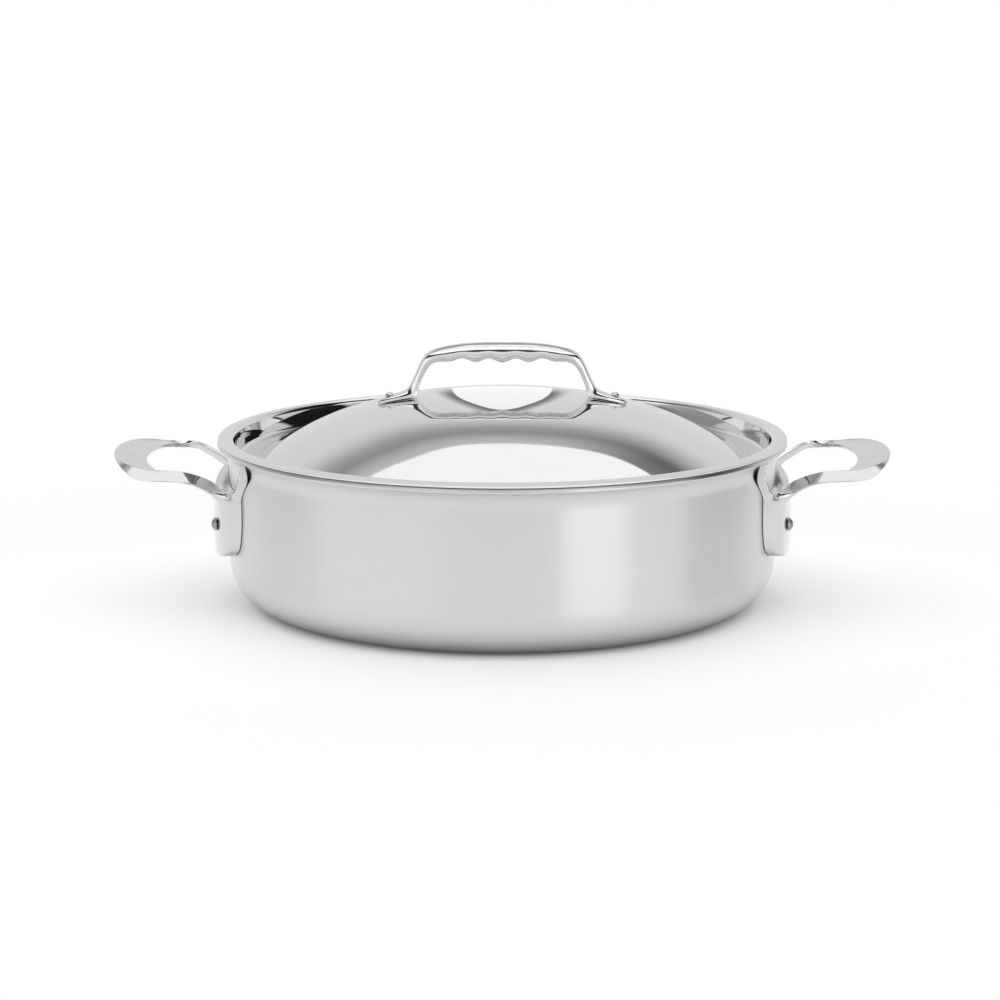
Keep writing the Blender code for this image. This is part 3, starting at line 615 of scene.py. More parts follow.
# The grip lies between two ellipses, given by where they start, how far out they reach
# and their half width
GRIP_FAR = OUTER_RADIUS + HANDLE_REACH
OUTER_ELLIPSE = (GRIP_FAR - GRIP_CORNER, GRIP_FAR, HANDLE_SPREAD / 2 + 0.27 * ARM_WIDTH)
INNER_FAR = GRIP_FAR - GRIP_WIDTH
INNER_ELLIPSE = (INNER_FAR - 0.85 * GRIP_CORNER, INNER_FAR, HANDLE_SPREAD / 2 - 0.65 * ARM_WIDTH)

# Each ring's degrees round the inner and the outer ellipse, its ridge's share of the width,
# and how far its outer edge and its underside lie below the ridge
GRIP_RINGS = (
    (22, 6, 0.14, 0.0036, 0.0044),
    (39, 27, 0.60, 0.0021, 0.0030),
    (57, 49, 0.92, 0.0005, 0.0022),
    (76, 73, 0.97, 0.0002, 0.0022),
    (90, 90, 0.97, 0.0002, 0.0022),
)

# Places on a ring, as shares of its depth, and how crisp its corners are
INNER_DEPTH = 0.8
BELLY_DEPTH = 1.1
ROOT_DEPTH = 0.3
FACET_PLACE = 0.35
FACET_INSET = 0.15
GRIP_CREASES = ((0, 0.35), (2, 0.30), (4, 0.55), (6, 0.75))
GRIP_EDGE_CREASE = 0.8


def ellipse_point(ellipse, degrees):
    """A point in plan on one of the grip's ellipses, whose 0 degrees is on the arm."""
    start, far, side = ellipse
    angle = math.radians(degrees)
    return Vector((-(start + (far - start) * math.sin(angle)), -side * math.cos(angle), 0))


def grip_ring(inner, outer, top, row):
    """Points round the grip between its two edges. The top curls up towards the far edge."""
    _, _, share, drop, depth = row
    ridge = inner.lerp(outer, share)
    inside = (inner - outer).normalized()
    middle = inner.lerp(ridge, 0.5)
    for point in (inner, middle, ridge):
        point.z = top + GRIP_CURL * max(0, -point.x - OUTER_ELLIPSE[0]) / GRIP_CORNER
    outer.z = ridge.z - drop
    sole = outer + inside * depth / 2
    sole.z = ridge.z - depth
    belly = Vector(((inner.x + sole.x) / 2, (inner.y + sole.y) / 2, ridge.z - BELLY_DEPTH * depth))
    return [
        Vector((inner.x, inner.y, inner.z - INNER_DEPTH * depth)),
        belly,
        sole,
        outer.lerp(sole, FACET_PLACE) - inside * FACET_INSET * depth,
        outer,
        ridge.lerp(outer, 0.5),
        ridge,
        middle - Vector((0, 0, GRIP_DISH)),
        inner,
    ]


def add_grip(cage, start):
    """The grip's rings of cage points, from the arm's end to the grip's middle."""
    inner_points = [ellipse_point(INNER_ELLIPSE, row[0]) for row in GRIP_RINGS]
    outer_points = [ellipse_point(OUTER_ELLIPSE, row[1]) for row in GRIP_RINGS]
    inner_edge = through([start] + inner_points)[1:]
    outer_edge = through([start] + outer_points)[1:]
    rings = []
    for inner, outer, row in zip(inner_edge, outer_edge, GRIP_RINGS):
        ring = grip_ring(inner, outer, start.z + ARM_THICKNESS / 2, row)
        if row is GRIP_RINGS[0]:
            ring[7:] = [inner - Vector((0, 0, ROOT_DEPTH * row[4]))]
        if row is GRIP_RINGS[-1]:
            for point in ring:
                point.y = 0
        rings.append([cage.vert(point) for point in ring])
    return rings


def side_handle_mesh():
    """The near half of the handle on the -X side, with its plate, prong, arm and grip."""
    cage = HalfCage()
    hole = add_plate(cage)
    arm, arm_end = add_arm(cage)
    grip = add_grip(cage, arm_end)
    loops = [hole] + arm + grip
    for previous, ring in zip(loops, loops[1:]):
        if len(previous) == len(ring):
            cage.tube(previous, ring)
        else:
            # From here on, a ninth point lets the grip's top be dished
            for i in range(6):
                cage.face(previous[i], previous[i + 1], ring[i + 1], ring[i])
            cage.face(previous[6], previous[7], ring[8], ring[7], ring[6])
            cage.face(previous[7], previous[0], ring[0], ring[8])
    for corner, amount in GRIP_CREASES:
        cage.crisp([ring[corner] for ring in loops], amount)
    cage.crisp([ring[-1] for ring in grip], GRIP_EDGE_CREASE)
    return cage.mesh("side_handle")


# The lid's grip: its top line falls and it gets slimmer towards the shoulders, in quarter
# scallops, the last of which are shallower
LEG_HALF_SPAN = LID_LEG_SPAN / 2
LID_SHOULDER = LEG_HALF_SPAN - 2.3 * LID_LEG_THICKNESS
LID_GRIP_TOP = MOAT_FLOOR + DOME_HEIGHT + LID_GRIP_RISE
CREST_FALL = 0.135
QUARTERS = 9
FULL_QUARTERS = 8
LAST_SCALLOP = 0.5
SCALLOP_SHARE = 0.75
GRIP_SLIMMING = 0.21
GRIP_NARROWING = 0.12

# The leg's inner face leans outwards: shares of the half span and of the drop to the dome,
# then its thickness, the turn of its section in degrees and its width
LEG_STATIONS = (
    (-0.165, 0.280, 2.00, 70, 1.22),
    (-0.085, 0.465, 1.78, 61, 1.06),
    (-0.030, 0.680, 1.41, 47, 1.00),
    (0.000, 0.900, 1.85, 25, 1.10),
)
LEG_CROWN = 0.3 * LID_GRIP_CROWN

# The foot's top and sole, as shares of its length, then its thickness and its width
FOOT_STATIONS = (
    (0.30, 0.03, 1.35, 1.06),
    (0.50, 0.40, 1.05, 1.00),
    (0.76, 0.72, 0.86, 0.80),
    (0.98, 0.97, 0.55, 0.50),
)
FOOT_SIDE_LIFT = 0.5
FOOT_EDGE_LIFT = 0.86
BRIDGE_CREASES = ((0, 0.6), (2, 0.6), (4, 0.4), (6, 0.4))
TIP_CREASE = 0.8


def crest(x):
    """Top line of the lid's grip."""
    return LID_GRIP_TOP - CREST_FALL * LID_GRIP_RISE * (x / LID_SHOULDER) ** 3


def grip_stations():
    """Top point, bottom point, width and crown of the scalloped grip's sections."""
    stations = []
    for k in range(QUARTERS + 1):
        x = SCALLOP_PITCH / 4 * k
        wave = math.cos(math.tau * x / SCALLOP_PITCH)
        fade = 1 if k < FULL_QUARTERS else LAST_SCALLOP
        thick = LID_GRIP_THICKNESS * (1 - GRIP_SLIMMING * (k / QUARTERS) ** 2)
        under = crest(x) - thick - SCALLOP_SHARE * SCALLOP_DEPTH * wave * fade
        width = LID_GRIP_DEPTH * (1 - GRIP_NARROWING * (k / QUARTERS) ** 2)
        top, bottom = Vector((x, 0, crest(x))), Vector((x, 0, under))
        stations.append((top, bottom, width, LID_GRIP_CROWN))
    return stations


def leg_stations():
    """Outer point, inner point, width and crown of the leg's sections."""
    stations = []
    drop = crest(LID_SHOULDER) - dome_height(LEG_HALF_SPAN)
    for out, down, thick, turn, width in LEG_STATIONS:
        inner = Vector((LEG_HALF_SPAN * (1 + out), 0, crest(LID_SHOULDER) - drop * down))
        angle = math.radians(turn)
        lean = Vector((math.cos(angle), 0, math.sin(angle)))
        outer = inner + lean * LID_LEG_THICKNESS * thick
        stations.append((outer, inner, LID_LEG_WIDTH * width, LEG_CROWN))
    return stations


def foot_ring(cage, top, sole, thick, width):
    """Cage points round the foot, whose sole follows the dome."""
    ring = []
    for s, u in SECTION:
        if u < 0:
            along, lift = sole, 0
        elif u > 0:
            along, lift = top, 1 if s == 0 else FOOT_EDGE_LIFT
        else:
            along, lift = (top + sole) / 2, FOOT_SIDE_LIFT
        x = LEG_HALF_SPAN + LID_FOOT_LENGTH * along
        y = s * LID_FOOT_WIDTH / 2 * width * SECTION_SWELL
        base = dome_height(math.hypot(x, y)) + GAP
        ring.append(cage.vert((x, y, base + LID_FOOT_THICKNESS * thick * lift)))
    return ring


def lid_handle_mesh():
    """The +X half of the lid's bridge handle, from the grip's middle to the foot."""
    cage = HalfCage()
    rings = []
    for outer, inner, width, crown in grip_stations() + leg_stations():
        up = (outer - inner) / 2
        across = Vector((0, width / 2, 0))
        ring = section_ring(cage, (outer + inner) / 2, across, up / SECTION_SWELL)
        for corner in (4, 6):
            ring[corner].co -= up.normalized() * crown
        rings.append(ring)
    for vert in rings[0]:
        vert.co.x = 0
    rings += [foot_ring(cage, *station) for station in FOOT_STATIONS]
    for first, second in zip(rings, rings[1:]):
        cage.tube(first, second)
    tip = rings[-1]
    cage.face(tip[0], tip[1], tip[2], tip[3])
    cage.face(tip[3], tip[4], tip[5], tip[6])
    cage.face(tip[6], tip[7], tip[0], tip[3])
    for corner, amount in BRIDGE_CREASES:
        cage.crisp([ring[corner] for ring in rings], amount)
    cage.crisp(tip[0:3], TIP_CREASE)
    return cage.mesh("lid_handle")


def rivet_profile(shank, head, head_height, inner_head, inner_height, length):
    """A rivet along +Z: the domed outer head stands above Z = 0, the inner one below."""
    sphere = (head**2 + head_height**2) / (2 * head_height)
    spread = math.asin(min(1, head / sphere))
    points = []
    for step in range(HEAD_STEPS + 1):
        angle = spread * step / HEAD_STEPS
        points.append((sphere * math.sin(angle), head_height - sphere * (1 - math.cos(angle))))
    bottom = -length - inner_height
    points += [(shank, 0), (shank, -length), (inner_head, -length)]
    points += [(INNER_HEAD_TOP * inner_head, bottom), (0, bottom)]
    return points


def pan_profile():
    """Outer surface of the pan, from the lip down to the centre of the base."""
    concave = FLARE_RADIUS - WALL / 2
    points = []
    for step in range(FLARE_STEPS + 1):
        angle = FLARE_ANGLE * (1 - step / FLARE_STEPS)
        radius = OUTER_RADIUS + concave * (1 - math.cos(angle))
        points.append((radius, FLARE_START + concave * math.sin(angle)))
    for step in range(1, WALL_STEPS):
        height = FLARE_START + (CORNER_RADIUS - FLARE_START) * step / WALL_STEPS
        points.append((OUTER_RADIUS, height))
    for step in range(CORNER_STEPS + 1):
        angle = math.pi / 2 * step / CORNER_STEPS
        radius = OUTER_RADIUS - CORNER_RADIUS * (1 - math.cos(angle))
        points.append((radius, CORNER_RADIUS * (1 - math.sin(angle))))
    flat = OUTER_RADIUS - CORNER_RADIUS
    points += [(flat * (1 - step / BASE_STEPS), 0) for step in range(1, BASE_STEPS + 1)]
    return points


def lid_profile():
    """Top surface of the lid, from the centre of the dome out to the flange edge."""
    points = []
    for step in range(DOME_STEPS + 1):
        radius = DOME_RADIUS * DOME_END * math.sin(math.pi / 2 * step / DOME_STEPS)
        points.append((radius, dome_height(radius)))
    corners = [
        points[-1],
        (DOME_RADIUS, MOAT_FLOOR),
        (PLUG_FOOT_RADIUS, MOAT_FLOOR),
        (CREST_RADIUS, FLANGE_CREST),
        (RIM_RADIUS, flange_height(RIM_RADIUS)),
    ]
    fillets = (DOME_FILLET, MOAT_FILLET, FLANGE_FILLET)
    edge = [tuple(point) for point in rounded(corners, fillets, LID_FILLET_STEPS)]
    near_edge = RIM_RADIUS - FLANGE_STRIP
    return points + edge[1:-1] + [(near_edge, flange_height(near_edge)), edge[-1]]


class Signal:
    """A node's output, which is added, subtracted and multiplied as a number is."""

    def __init__(self, graph, socket):
        self.graph = graph
        self.socket = socket

    def __add__(self, other):
        return self.graph.calc("ADD", self, other)

    __radd__ = __add__

    def __sub__(self, other):
        return self.graph.calc("SUBTRACT", self, other)

    def __mul__(self, other):
        return self.graph.calc("MULTIPLY", self, other)

    def __rsub__(self, other):
        return self.graph.calc("SUBTRACT", other, self)

    def __abs__(self):
        return self.graph.calc("ABSOLUTE", self)


class Graph:
    """Adds nodes to the tree of a material or world. Most methods return a signal."""

    def __init__(self, owner):
        owner.use_nodes = True
        self.tree = owner.node_tree
        self.shader = self.tree.nodes.get("Principled BSDF")

    def node(self, kind, **inputs):
        """A new node, with inputs fed by their labels."""
        node = self.tree.nodes.new("ShaderNode" + kind)
        for label, value in inputs.items():
            self.feed(node.inputs[label], value)
        return node

    def output(self, node, label=0):
        return Signal(self, node.outputs[label])

    def feed(self, socket, value):
        """Links a socket to a signal, or sets it to a number or a colour."""
        if isinstance(value, Signal):
            self.tree.links.new(value.socket, socket)
        else:
            socket.default_value = value

    def shade(self, label, value):
        """Feeds one of the shader's inputs."""
        self.feed(self.shader.inputs[label], value)

    def calc(self, operation, *values, kind="Math"):
        """A Math or VectorMath node."""
        node = self.node(kind)
        node.operation = operation
        for socket, value in zip(node.inputs, values):
            self.feed(socket, value)
        return self.output(node, "Value" if operation == "LENGTH" else 0)

    def slope(self, value, span, start=0, end=1, kind="LINEAR"):
        """Goes from start to end while the value crosses the span, and is level outside it."""
        limits = zip(("From Min", "From Max", "To Min", "To Max"), (*span, start, end))
        node = self.node("MapRange", Value=value, **dict(limits))
        node.interpolation_type = kind
        return self.output(node, "Result")

    def fade(self, value, span, start=0, end=1):
        """A slope with soft ends."""
        return self.slope(value, span, start, end, "SMOOTHSTEP")

    def noise(self, vector, scale, detail, roughness=0.5):
        node = self.node("TexNoise", Vector=vector, Scale=scale, Detail=detail, Roughness=roughness)
        return self.output(node, "Fac")

    def ramp(self, value, stops):
        """A colour ramp of greys, from (place, grey) pairs."""
        node = self.node("ValToRGB", Fac=value)
        elements = node.color_ramp.elements
        while len(elements) < len(stops):
            elements.new(0.5)
        for element, (place, grey) in zip(elements, stops):
            element.position = place
            element.color = (grey, grey, grey, 1)
        return self.output(node, "Color")

    def mix(self, factor, first, second):
        """A colour between two, which are signals or (red, green, blue)."""
        node = self.node("Mix")
        node.data_type = "RGBA"
        self.feed(node.inputs["Factor"], factor)
        for label, colour in (("A", first), ("B", second)):
            self.feed(node.inputs[label], (*colour, 1) if isinstance(colour, tuple) else colour)
        return self.output(node, "Result")

    def place(self, kind):
        return self.output(self.node("TexCoord"), kind)

    def ray(self, kind):
        """1 for rays of one kind, and 0 for others."""
        return self.output(self.node("LightPath"), f"Is {kind} Ray")

    def parts(self, vector):
        """The X, Y and Z of a vector."""
        node = self.node("SeparateXYZ", Vector=vector)
        return [self.output(node, axis) for axis in "XYZ"]

    def vector(self, x, y, z):
        return self.output(self.node("CombineXYZ", X=x, Y=y, Z=z))

    def bump(self, height, strength, distance):
        node = self.node("Bump", Height=height, Strength=strength, Distance=distance)
        self.shade("Normal", self.output(node))

    def bearing(self, x, y):
        """Degrees round the axis, from +Y towards +X."""
        return self.calc("ARCTAN2", x, y) * DEGREES


def make_steel(name):
    """A metal and its graph."""
    material = bpy.data.materials.new(name)
    graph = Graph(material)
    graph.shade("Metallic", 1)
    return material, graph


def turned_grain(graph, along, across):
    """Coordinates for grain that runs round the axis, then the plain place and the radius."""
    place = graph.place("Object")
    x, y, z = graph.parts(place)
    radius = graph.calc("SQRT", x * x + y * y)
    line = radius + z * GRAIN_CLIMB
    return graph.vector(x * along, y * along, line * across), place, radius


def round_the_axis(graph, place):
    """The direction round the axis at a place on a piece, in the world's frame."""
    x, y, _ = graph.parts(place)
    node = graph.node("VectorTransform", Vector=graph.vector(y * -1, x, 0))
    node.vector_type = "VECTOR"
    node.convert_from = "OBJECT"
    node.convert_to = "WORLD"
    return graph.output(node)


def satin_wall():
    """Cloudy satin steel, whose fine polishing lines run round the axis."""
    material, graph = make_steel("satin_wall_steel")
    dark, light, smooth, rough = WALL_STEEL
    grain, place, _ = turned_grain(graph, *WALL_GRAIN)
    lines = graph.noise(grain, scale=1, detail=3, roughness=0.6)
    cloud = graph.noise(place, WALL_CLOUD, detail=3)
    clouding = graph.slope(cloud, NOISE_MIDDLE, -WALL_CLOUDING, WALL_CLOUDING)
    graph.shade("Base Color", graph.mix(cloud, dark, light))
    graph.shade("Roughness", graph.slope(lines, NOISE_MIDDLE, smooth, rough) + clouding)
    graph.shade("Tangent", round_the_axis(graph, place))
    graph.shade("Anisotropic", WALL_STRETCH)
    graph.shade("Anisotropic Rotation", WALL_STRETCH_TURN)
    graph.bump(lines, *WALL_BUMP)
    return material


def mirror_lid():
    """Polished steel, faint wiping marks, a satin flange with painted sheen, painted underside
    shade.
    """
    material, graph = make_steel("mirror_lid_steel")
    dark, light, smooth, rough = LID_STEEL
    grain, place, radius = turned_grain(graph, *LID_GRAIN)
    marks = graph.noise(grain, scale=1, detail=4, roughness=0.65)
    cloud = graph.noise(place, LID_CLOUD, detail=2)
    _, _, facing_up = graph.parts(graph.place("Normal"))
    # Painted shade: faces that look down get a darker colour
    underside = graph.mix(graph.fade(facing_up, UNDERSIDE_SHADE_SPAN), UNDERSIDE_PAINTED_SHADE, WHITE)
    flange = graph.fade(radius, [PLUG_FOOT_RADIUS + out for out in FLANGE_SPAN])
    colour = graph.mix(cloud, dark, light)
    # The underside's painted shade and the flange's painted sheen scale the colour
    for factor in (underside, graph.mix(flange, WHITE, FLANGE_PAINTED_SHEEN)):
        colour = graph.calc("MULTIPLY", colour, factor, kind="VectorMath")
    graph.shade("Base Color", colour)
    polish = graph.slope(marks, NOISE_MIDDLE, smooth, rough)
    graph.shade("Roughness", polish + flange * FLANGE_ROUGHNESS)
    graph.bump(cloud, *LID_BUMP)
    return material


def cast_steel(name, steel):
    """A hand-polished casting or rivet: cloudy gloss and a slightly uneven surface."""
    material, graph = make_steel(name)
    dark, light, smooth, rough = steel
    place = graph.place("Object")
    cloud = graph.noise(place, CAST_CLOUD, detail=3)
    pores = graph.noise(place, CAST_PORES, detail=2)
    graph.shade("Base Color", graph.mix(cloud, dark, light))
    graph.shade("Roughness", graph.slope(pores, NOISE_MIDDLE, smooth, rough))
    graph.bump(cloud, *CAST_BUMP)
    return material


def profile_mesh(name, points):
    """An open line of (radius, height) points, for turning round Z."""
    mesh = bpy.data.meshes.new(name)
    edges = [(i, i + 1) for i in range(len(points) - 1)]
    mesh.from_pydata([(radius, 0, height) for radius, height in points], edges, [])
    return mesh


def add_piece(name, node, mesh, material, body):
    """A fine piece that rides on a body and stands in for one solid of the frame."""
    mesh.materials.append(material)
    obj = bpy.data.objects.new(name, mesh)
    bpy.context.scene.collection.objects.link(obj)
    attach(obj, body)
    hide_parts(node)
    return obj


def turn_profile(obj, steps):
    screw = obj.modifiers.new("Turn", "SCREW")
    screw.steps = screw.render_steps = steps
    screw.use_merge_vertices = True
    screw.merge_threshold = MERGE
    screw.use_smooth_shade = True


def turn_sheet(obj, thickness, edge):
    """Turns a profile and gives it a sheet's thickness and rounded edges."""
    turn_profile(obj, TURN_STEPS)
    shell = obj.modifiers.new("Sheet", "SOLIDIFY")
    shell.thickness = thickness
    shell.offset = -1
    shell.use_even_offset = True
    bevel = obj.modifiers.new("Edge", "BEVEL")
    bevel.width = edge
    bevel.segments = EDGE_SEGMENTS
    bevel.limit_method = "ANGLE"
    bevel.angle_limit = EDGE_ANGLE
    even = obj.modifiers.new("Even shading", "WEIGHTED_NORMAL")
    even.keep_sharp = True


def finish_casting(obj, mirror_axis):
    """Mirrors a half cage and subdivides it."""
    mirror = obj.modifiers.new("Other half", "MIRROR")
    mirror.use_axis = [axis == mirror_axis for axis in "XYZ"]
    mirror.merge_threshold = MERGE
    mirror.use_clip = True
    smooth = obj.modifiers.new("Cast surface", "SUBSURF")
    smooth.levels = smooth.render_levels = CASTING_LEVELS


def add_rivet(label, shape, seat, direction, material, body):
    """A rivet whose outer head's foot is at the seat and whose axis has the direction."""
    name = "fine_" + label
    rivet = add_piece(name, label, profile_mesh(name, shape), material, body)
    turn = direction.normalized().to_track_quat("Z", "Y")
    rivet.matrix_world = Matrix.Translation(seat) @ turn.to_matrix().to_4x4()
    turn_profile(rivet, RIVET_STEPS)


def build_pan():
    mesh = profile_mesh("fine_pan_shell", pan_profile())
    pan = add_piece("fine_pan_shell", "pan_body", mesh, satin_wall(), "body")
    turn_sheet(pan, WALL, LIP_ROUND)


def build_side_handles():
    # Cast steel darkened by painted shade
    steel = cast_steel("polished_cast_steel", SIDE_SHADED_CASTING)
    for side, turn in (("left", 0), ("right", math.pi)):
        mesh = side_handle_mesh()
        mesh.transform(Matrix.Rotation(turn, 4, "Z"))
        node = "side_handle_" + side
        handle = add_piece("fine_" + node, node, mesh, steel, "body")
        finish_casting(handle, "Y")


def build_side_rivets():
    """Two for each plate, whose shanks pass plate and wall with play under both heads."""
    # A darker copy of the rivet steel, whose colour holds painted shade
    steel = cast_steel("side_rivet_steel", SIDE_RIVET_SHADED_STEEL)
    shoulder_radius = OUTER_RADIUS + GAP + RIVET_SHOULDER
    shape = rivet_profile(
        RIVET_SHANK, RIVET_HEAD, RIVET_HEAD_HEIGHT, RIVET_INNER_HEAD, RIVET_INNER_HEIGHT,
        shoulder_radius - INNER_RADIUS + 3 * GAP,
    )
    swing = math.asin(RIVET_SPACING / 2 / OUTER_RADIUS)
    for side, way in (("left", -1), ("right", 1)):
        for end, sign in (("near", -1), ("far", 1)):
            direction = Vector((way * math.cos(swing), sign * math.sin(swing), 0))
            seat = direction * (shoulder_radius + GAP) + Vector((0, 0, RIVET_HEIGHT))
            label = f"side_rivet_{side}_{end}"
            add_rivet(label, shape, seat, direction, steel, "body")


def build_lid():
    mesh = profile_mesh("fine_lid_shell", lid_profile())
    lid = add_piece("fine_lid_shell", "lid_shell", mesh, mirror_lid(), "lid")
    turn_sheet(lid, LID_SHEET, LID_EDGE_ROUND)
    steel = cast_steel("polished_lid_casting", LID_CASTING)
    mesh = lid_handle_mesh()
    bridge = add_piece("fine_lid_handle", "lid_handle", mesh, steel, "lid")
    finish_casting(bridge, "X")


def build_lid_rivets():
    steel = cast_steel("lid_rivet_steel", LID_RIVET_STEEL)
    radius = LID_RIVET_SPACING / 2
    tilt = dome_slope(radius)
    shape = rivet_profile(
        LID_RIVET_SHANK, LID_RIVET_HEAD, LID_RIVET_HEAD_HEIGHT,
        LID_RIVET_INNER_HEAD, LID_RIVET_INNER_HEIGHT, LID_FOOT_SEAT + GAP + LID_SHEET + 3 * GAP,
    )
    for side, way in (("left", -1), ("right", 1)):
        direction = Vector((way * math.sin(tilt), 0, math.cos(tilt)))
        on_dome = Vector((way * radius, 0, dome_height(radius)))
        seat = on_dome + direction * (LID_FOOT_SEAT + 2 * GAP)
        add_rivet("lid_rivet_" + side, shape, seat, direction, steel, "lid")


def floor_mesh():
    """A disc that reaches far past the camera's view."""
    bm = bmesh.new()
    corners = []
    for k in range(FLOOR_SIDES):
        angle = math.tau * k / FLOOR_SIDES
        x, y = FLOOR_RADIUS * math.cos(angle), FLOOR_RADIUS * math.sin(angle)
        corners.append(bm.verts.new((x, y, 0)))
    bm.faces.new(corners)
    mesh = bpy.data.meshes.new("floor")
    bm.to_mesh(mesh)
    bm.free()
    return mesh


def floor_painted_level(graph, place, away):
    """The floor's brightness as a share: 1 for the camera, less or more for the metal by painted
    shade and a painted pool of light.
    """
    metal = graph.ray("Glossy")
    x, y, _ = graph.parts(place)
    # A painted shadow under the pan, and painted shade that dulls the floor far off
    shade = metal * graph.fade(away, METAL_SHADE_SPAN, METAL_SHADE, 0)
    far_shade = metal * graph.fade(away, FAR_SPAN, 0, FAR_PAINTED_SHADE)
    # Painted shade on the floor stands in for the side flags hiding what lies behind them
    flag_shade = flag_sides(graph, graph.bearing(x, y)) * graph.fade(away, FLAG_FLOOR_SPAN)
    flag_shade = flag_shade * graph.slope(x, FLAG_FLOOR_MIDDLE, *FLAG_FLOOR_SHADE_STRENGTHS)
    # A painted pool of the upright light's brightness on the floor
    off_light = abs(graph.bearing(x, y * -1) - POOL_AZIMUTH)
    painted_pool = graph.fade(off_light, POOL_SPAN, POOL_PAINTED_LIGHT, 0) * graph.fade(away, POOL_START_SPAN)
    return (1 - shade - far_shade) * (1 - metal * flag_shade) * (1 + metal * painted_pool)


def white_floor():
    """A matt white with a painted shadow where the pan touches it, which glows a little elsewhere.
    """
    material = bpy.data.materials.new("white_floor")
    graph = Graph(material)
    graph.shade("Roughness", FLOOR_ROUGHNESS)
    graph.shade("Specular IOR Level", 0)
    place = graph.place("Object")
    away = graph.calc("LENGTH", place, kind="VectorMath")
    level = floor_painted_level(graph, place, away)
    # Painted contact shadow: the colour falls to a grey where the pan touches the floor
    near = graph.fade(away, CONTACT_SHADOW_SPAN, CONTACT_SHADOW_GREY, 1) * level
    graph.shade("Base Color", graph.mix(near, BLACK, FLOOR_COLOUR))
    # Only the camera and the metal see the glow, which lights nothing else
    seen = graph.calc("MAXIMUM", graph.ray("Glossy"), graph.ray("Transmission"))
    seen = graph.calc("MAXIMUM", graph.ray("Camera"), seen)
    # The glow fades out where the pan touches, which paints the contact shadow
    lift = graph.fade(away, LIFT_SHADOW_SPAN, 0, FLOOR_LIFT) * level
    glow = graph.node("Emission", Strength=seen * lift)
    both = graph.node("AddShader")
    graph.feed(both.inputs[0], graph.output(graph.shader))
    graph.feed(both.inputs[1], graph.output(glow))
    graph.feed(graph.tree.nodes["Material Output"].inputs["Surface"], graph.output(both))
    return material


def build_floor():
    mesh = floor_mesh()
    mesh.materials.append(white_floor())
    floor = bpy.data.objects.new("floor", mesh)
    bpy.context.scene.collection.objects.link(floor)


def flag_sides(graph, azimuth):
    """1 within the azimuths of the black flags at both sides, and 0 elsewhere."""
    side = abs(azimuth)
    return graph.fade(side, FLAG_BACK_SPAN) * graph.fade(side, FLAG_FRONT_SPAN, 1, 0)


def studio_bands(graph, y, azimuth, elevation):
    """Brightness by elevation, from the bands behind the pan to those round the camera."""
    behind = graph.fade(abs(azimuth), BEHIND_SPAN, 1, 0)
    left = graph.fade(azimuth, LEFT_LEAN_SPAN, LEFT_LEAN, 0)
    right = graph.fade(azimuth, RIGHT_LEAN_SPAN, 0, RIGHT_LEAN)
    hung = elevation - (left + right) * behind
    place = graph.slope(hung, ELEVATION_SPAN)
    low, high = ELEVATION_SPAN

    def bands(stops):
        places = [((at - low) / (high - low), grey / BAND_SCALE) for at, grey in stops]
        return graph.ramp(place, places)

    in_front = graph.fade(y, FRONT_TO_BACK, 1, 0)
    level = graph.mix(in_front, bands(BACK_BANDS), bands(FRONT_BANDS)) * BAND_SCALE
    depth = graph.fade(azimuth, DEEP_SIDE_SPAN) * behind
    band = graph.fade(hung, DEEP_LOW_SPAN) * graph.slope(hung, DEEP_HIGH_SPAN, 1, 0)
    return level * (1 - depth * band * DEEP_BAND)


def side_flags(graph, azimuth, elevation):
    """How much of the light the black flags take."""
    flag = flag_sides(graph, azimuth) * graph.fade(elevation, FLAG_FOOT_SPAN)
    flag = flag * graph.fade(elevation, FLAG_TOP_SPAN, 1, 0)
    return flag * graph.slope(azimuth, FLAG_MIDDLE, *FLAG_STRENGTHS)


def with_back_panel(graph, level, azimuth, elevation):
    """The light with the narrow bright panel in it and its soft dark fringe."""
    wide = graph.calc("DIVIDE", azimuth, PANEL_HALF_WIDTH)
    high = graph.calc("DIVIDE", elevation - PANEL_ELEVATION, PANEL_HALF_HEIGHT)
    ellipse = graph.calc("POWER", wide, 2) + graph.calc("POWER", high, 2)
    panel = graph.slope(ellipse, PANEL_EDGE, 1, 0)
    fringe = graph.fade(ellipse, FRINGE_SPAN, FRINGE_STRENGTH, 0)
    fringe = fringe * graph.slope(elevation, FRINGE_FOOT_SPAN)
    return level * (1 - fringe) * (1 - panel) + panel * PANEL_LEVEL


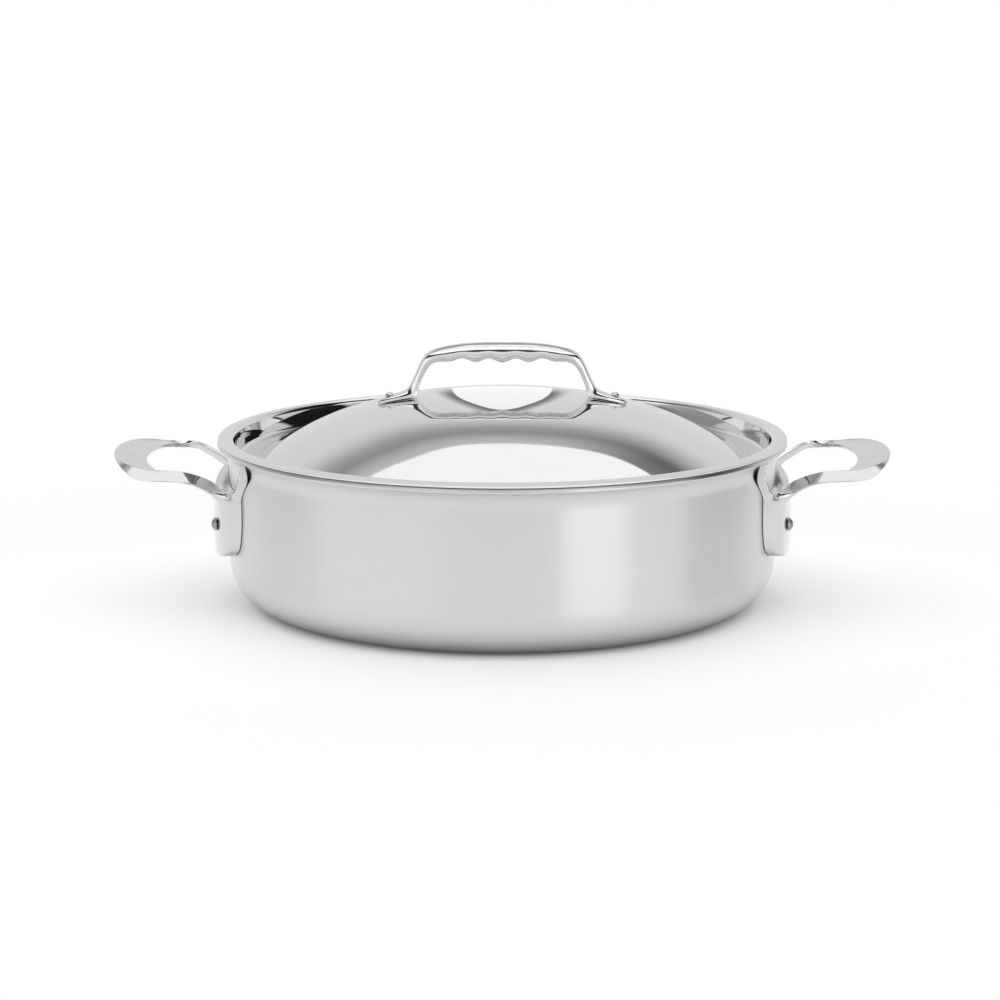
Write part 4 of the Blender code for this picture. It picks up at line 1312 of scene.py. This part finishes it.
def upright_light(graph, turned, elevation):
    """The share that the upright light adds, which draws the streak on the wall."""
    streak = graph.fade(abs(turned - UPRIGHT_AZIMUTH), UPRIGHT_SPAN, UPRIGHT_LIGHT, 0)
    return streak * graph.fade(elevation, UPRIGHT_TOP_SPAN, 1, 0)


def build_world():
    """Plain white for the camera, and bands, flags and lights for all other rays."""
    world = bpy.data.worlds.new("studio")
    bpy.context.scene.world = world
    graph = Graph(world)
    x, y, z = graph.parts(graph.place("Generated"))
    elevation = graph.calc("ARCSINE", z) * DEGREES
    # Azimuth counts from behind the pan, and turned from the camera's side
    azimuth = graph.bearing(x, y)
    turned = graph.bearing(x, y * -1)
    level = studio_bands(graph, y, azimuth, elevation)
    level = level * (1 - side_flags(graph, azimuth, elevation))
    level = with_back_panel(graph, level, azimuth, elevation)
    level = level * (1 + upright_light(graph, turned, elevation))
    ahead = abs(turned - CAMERA_PLACE)
    level = level * graph.fade(ahead, CAMERA_PLACE_SPAN, CAMERA_PLACE_LEVEL, 1)
    far_right = graph.fade(turned, FAR_RIGHT_SPAN, 0, FAR_RIGHT_DULLING)
    level = level * (1 - far_right * graph.fade(turned, FAR_RIGHT_END, 1, 0))
    camera = graph.ray("Camera")
    background = graph.tree.nodes["Background"]
    background.inputs["Color"].default_value = (*WHITE, 1)
    graph.feed(background.inputs["Strength"], level * (1 - camera) + camera)


def build_camera():
    data = bpy.data.cameras.new("camera")
    data.sensor_width = SENSOR_WIDTH
    data.lens = LENS
    data.shift_x = LENS_SHIFT
    data.clip_end = VIEW_END
    camera = bpy.data.objects.new("camera", data)
    back = Vector((0, -math.cos(CAMERA_TILT), math.sin(CAMERA_TILT)))
    camera.location = Vector((0, 0, AIM_HEIGHT)) + back * CAMERA_DISTANCE
    camera.rotation_euler = (math.pi / 2 - CAMERA_TILT, 0, 0)
    bpy.context.scene.collection.objects.link(camera)
    bpy.context.scene.camera = camera


bpy.context.scene.view_settings.view_transform = "Standard"
build_pan()
build_side_handles()
build_side_rivets()
build_lid()
build_lid_rivets()
build_floor()
build_world()
build_camera()
bpy.context.view_layer.update()
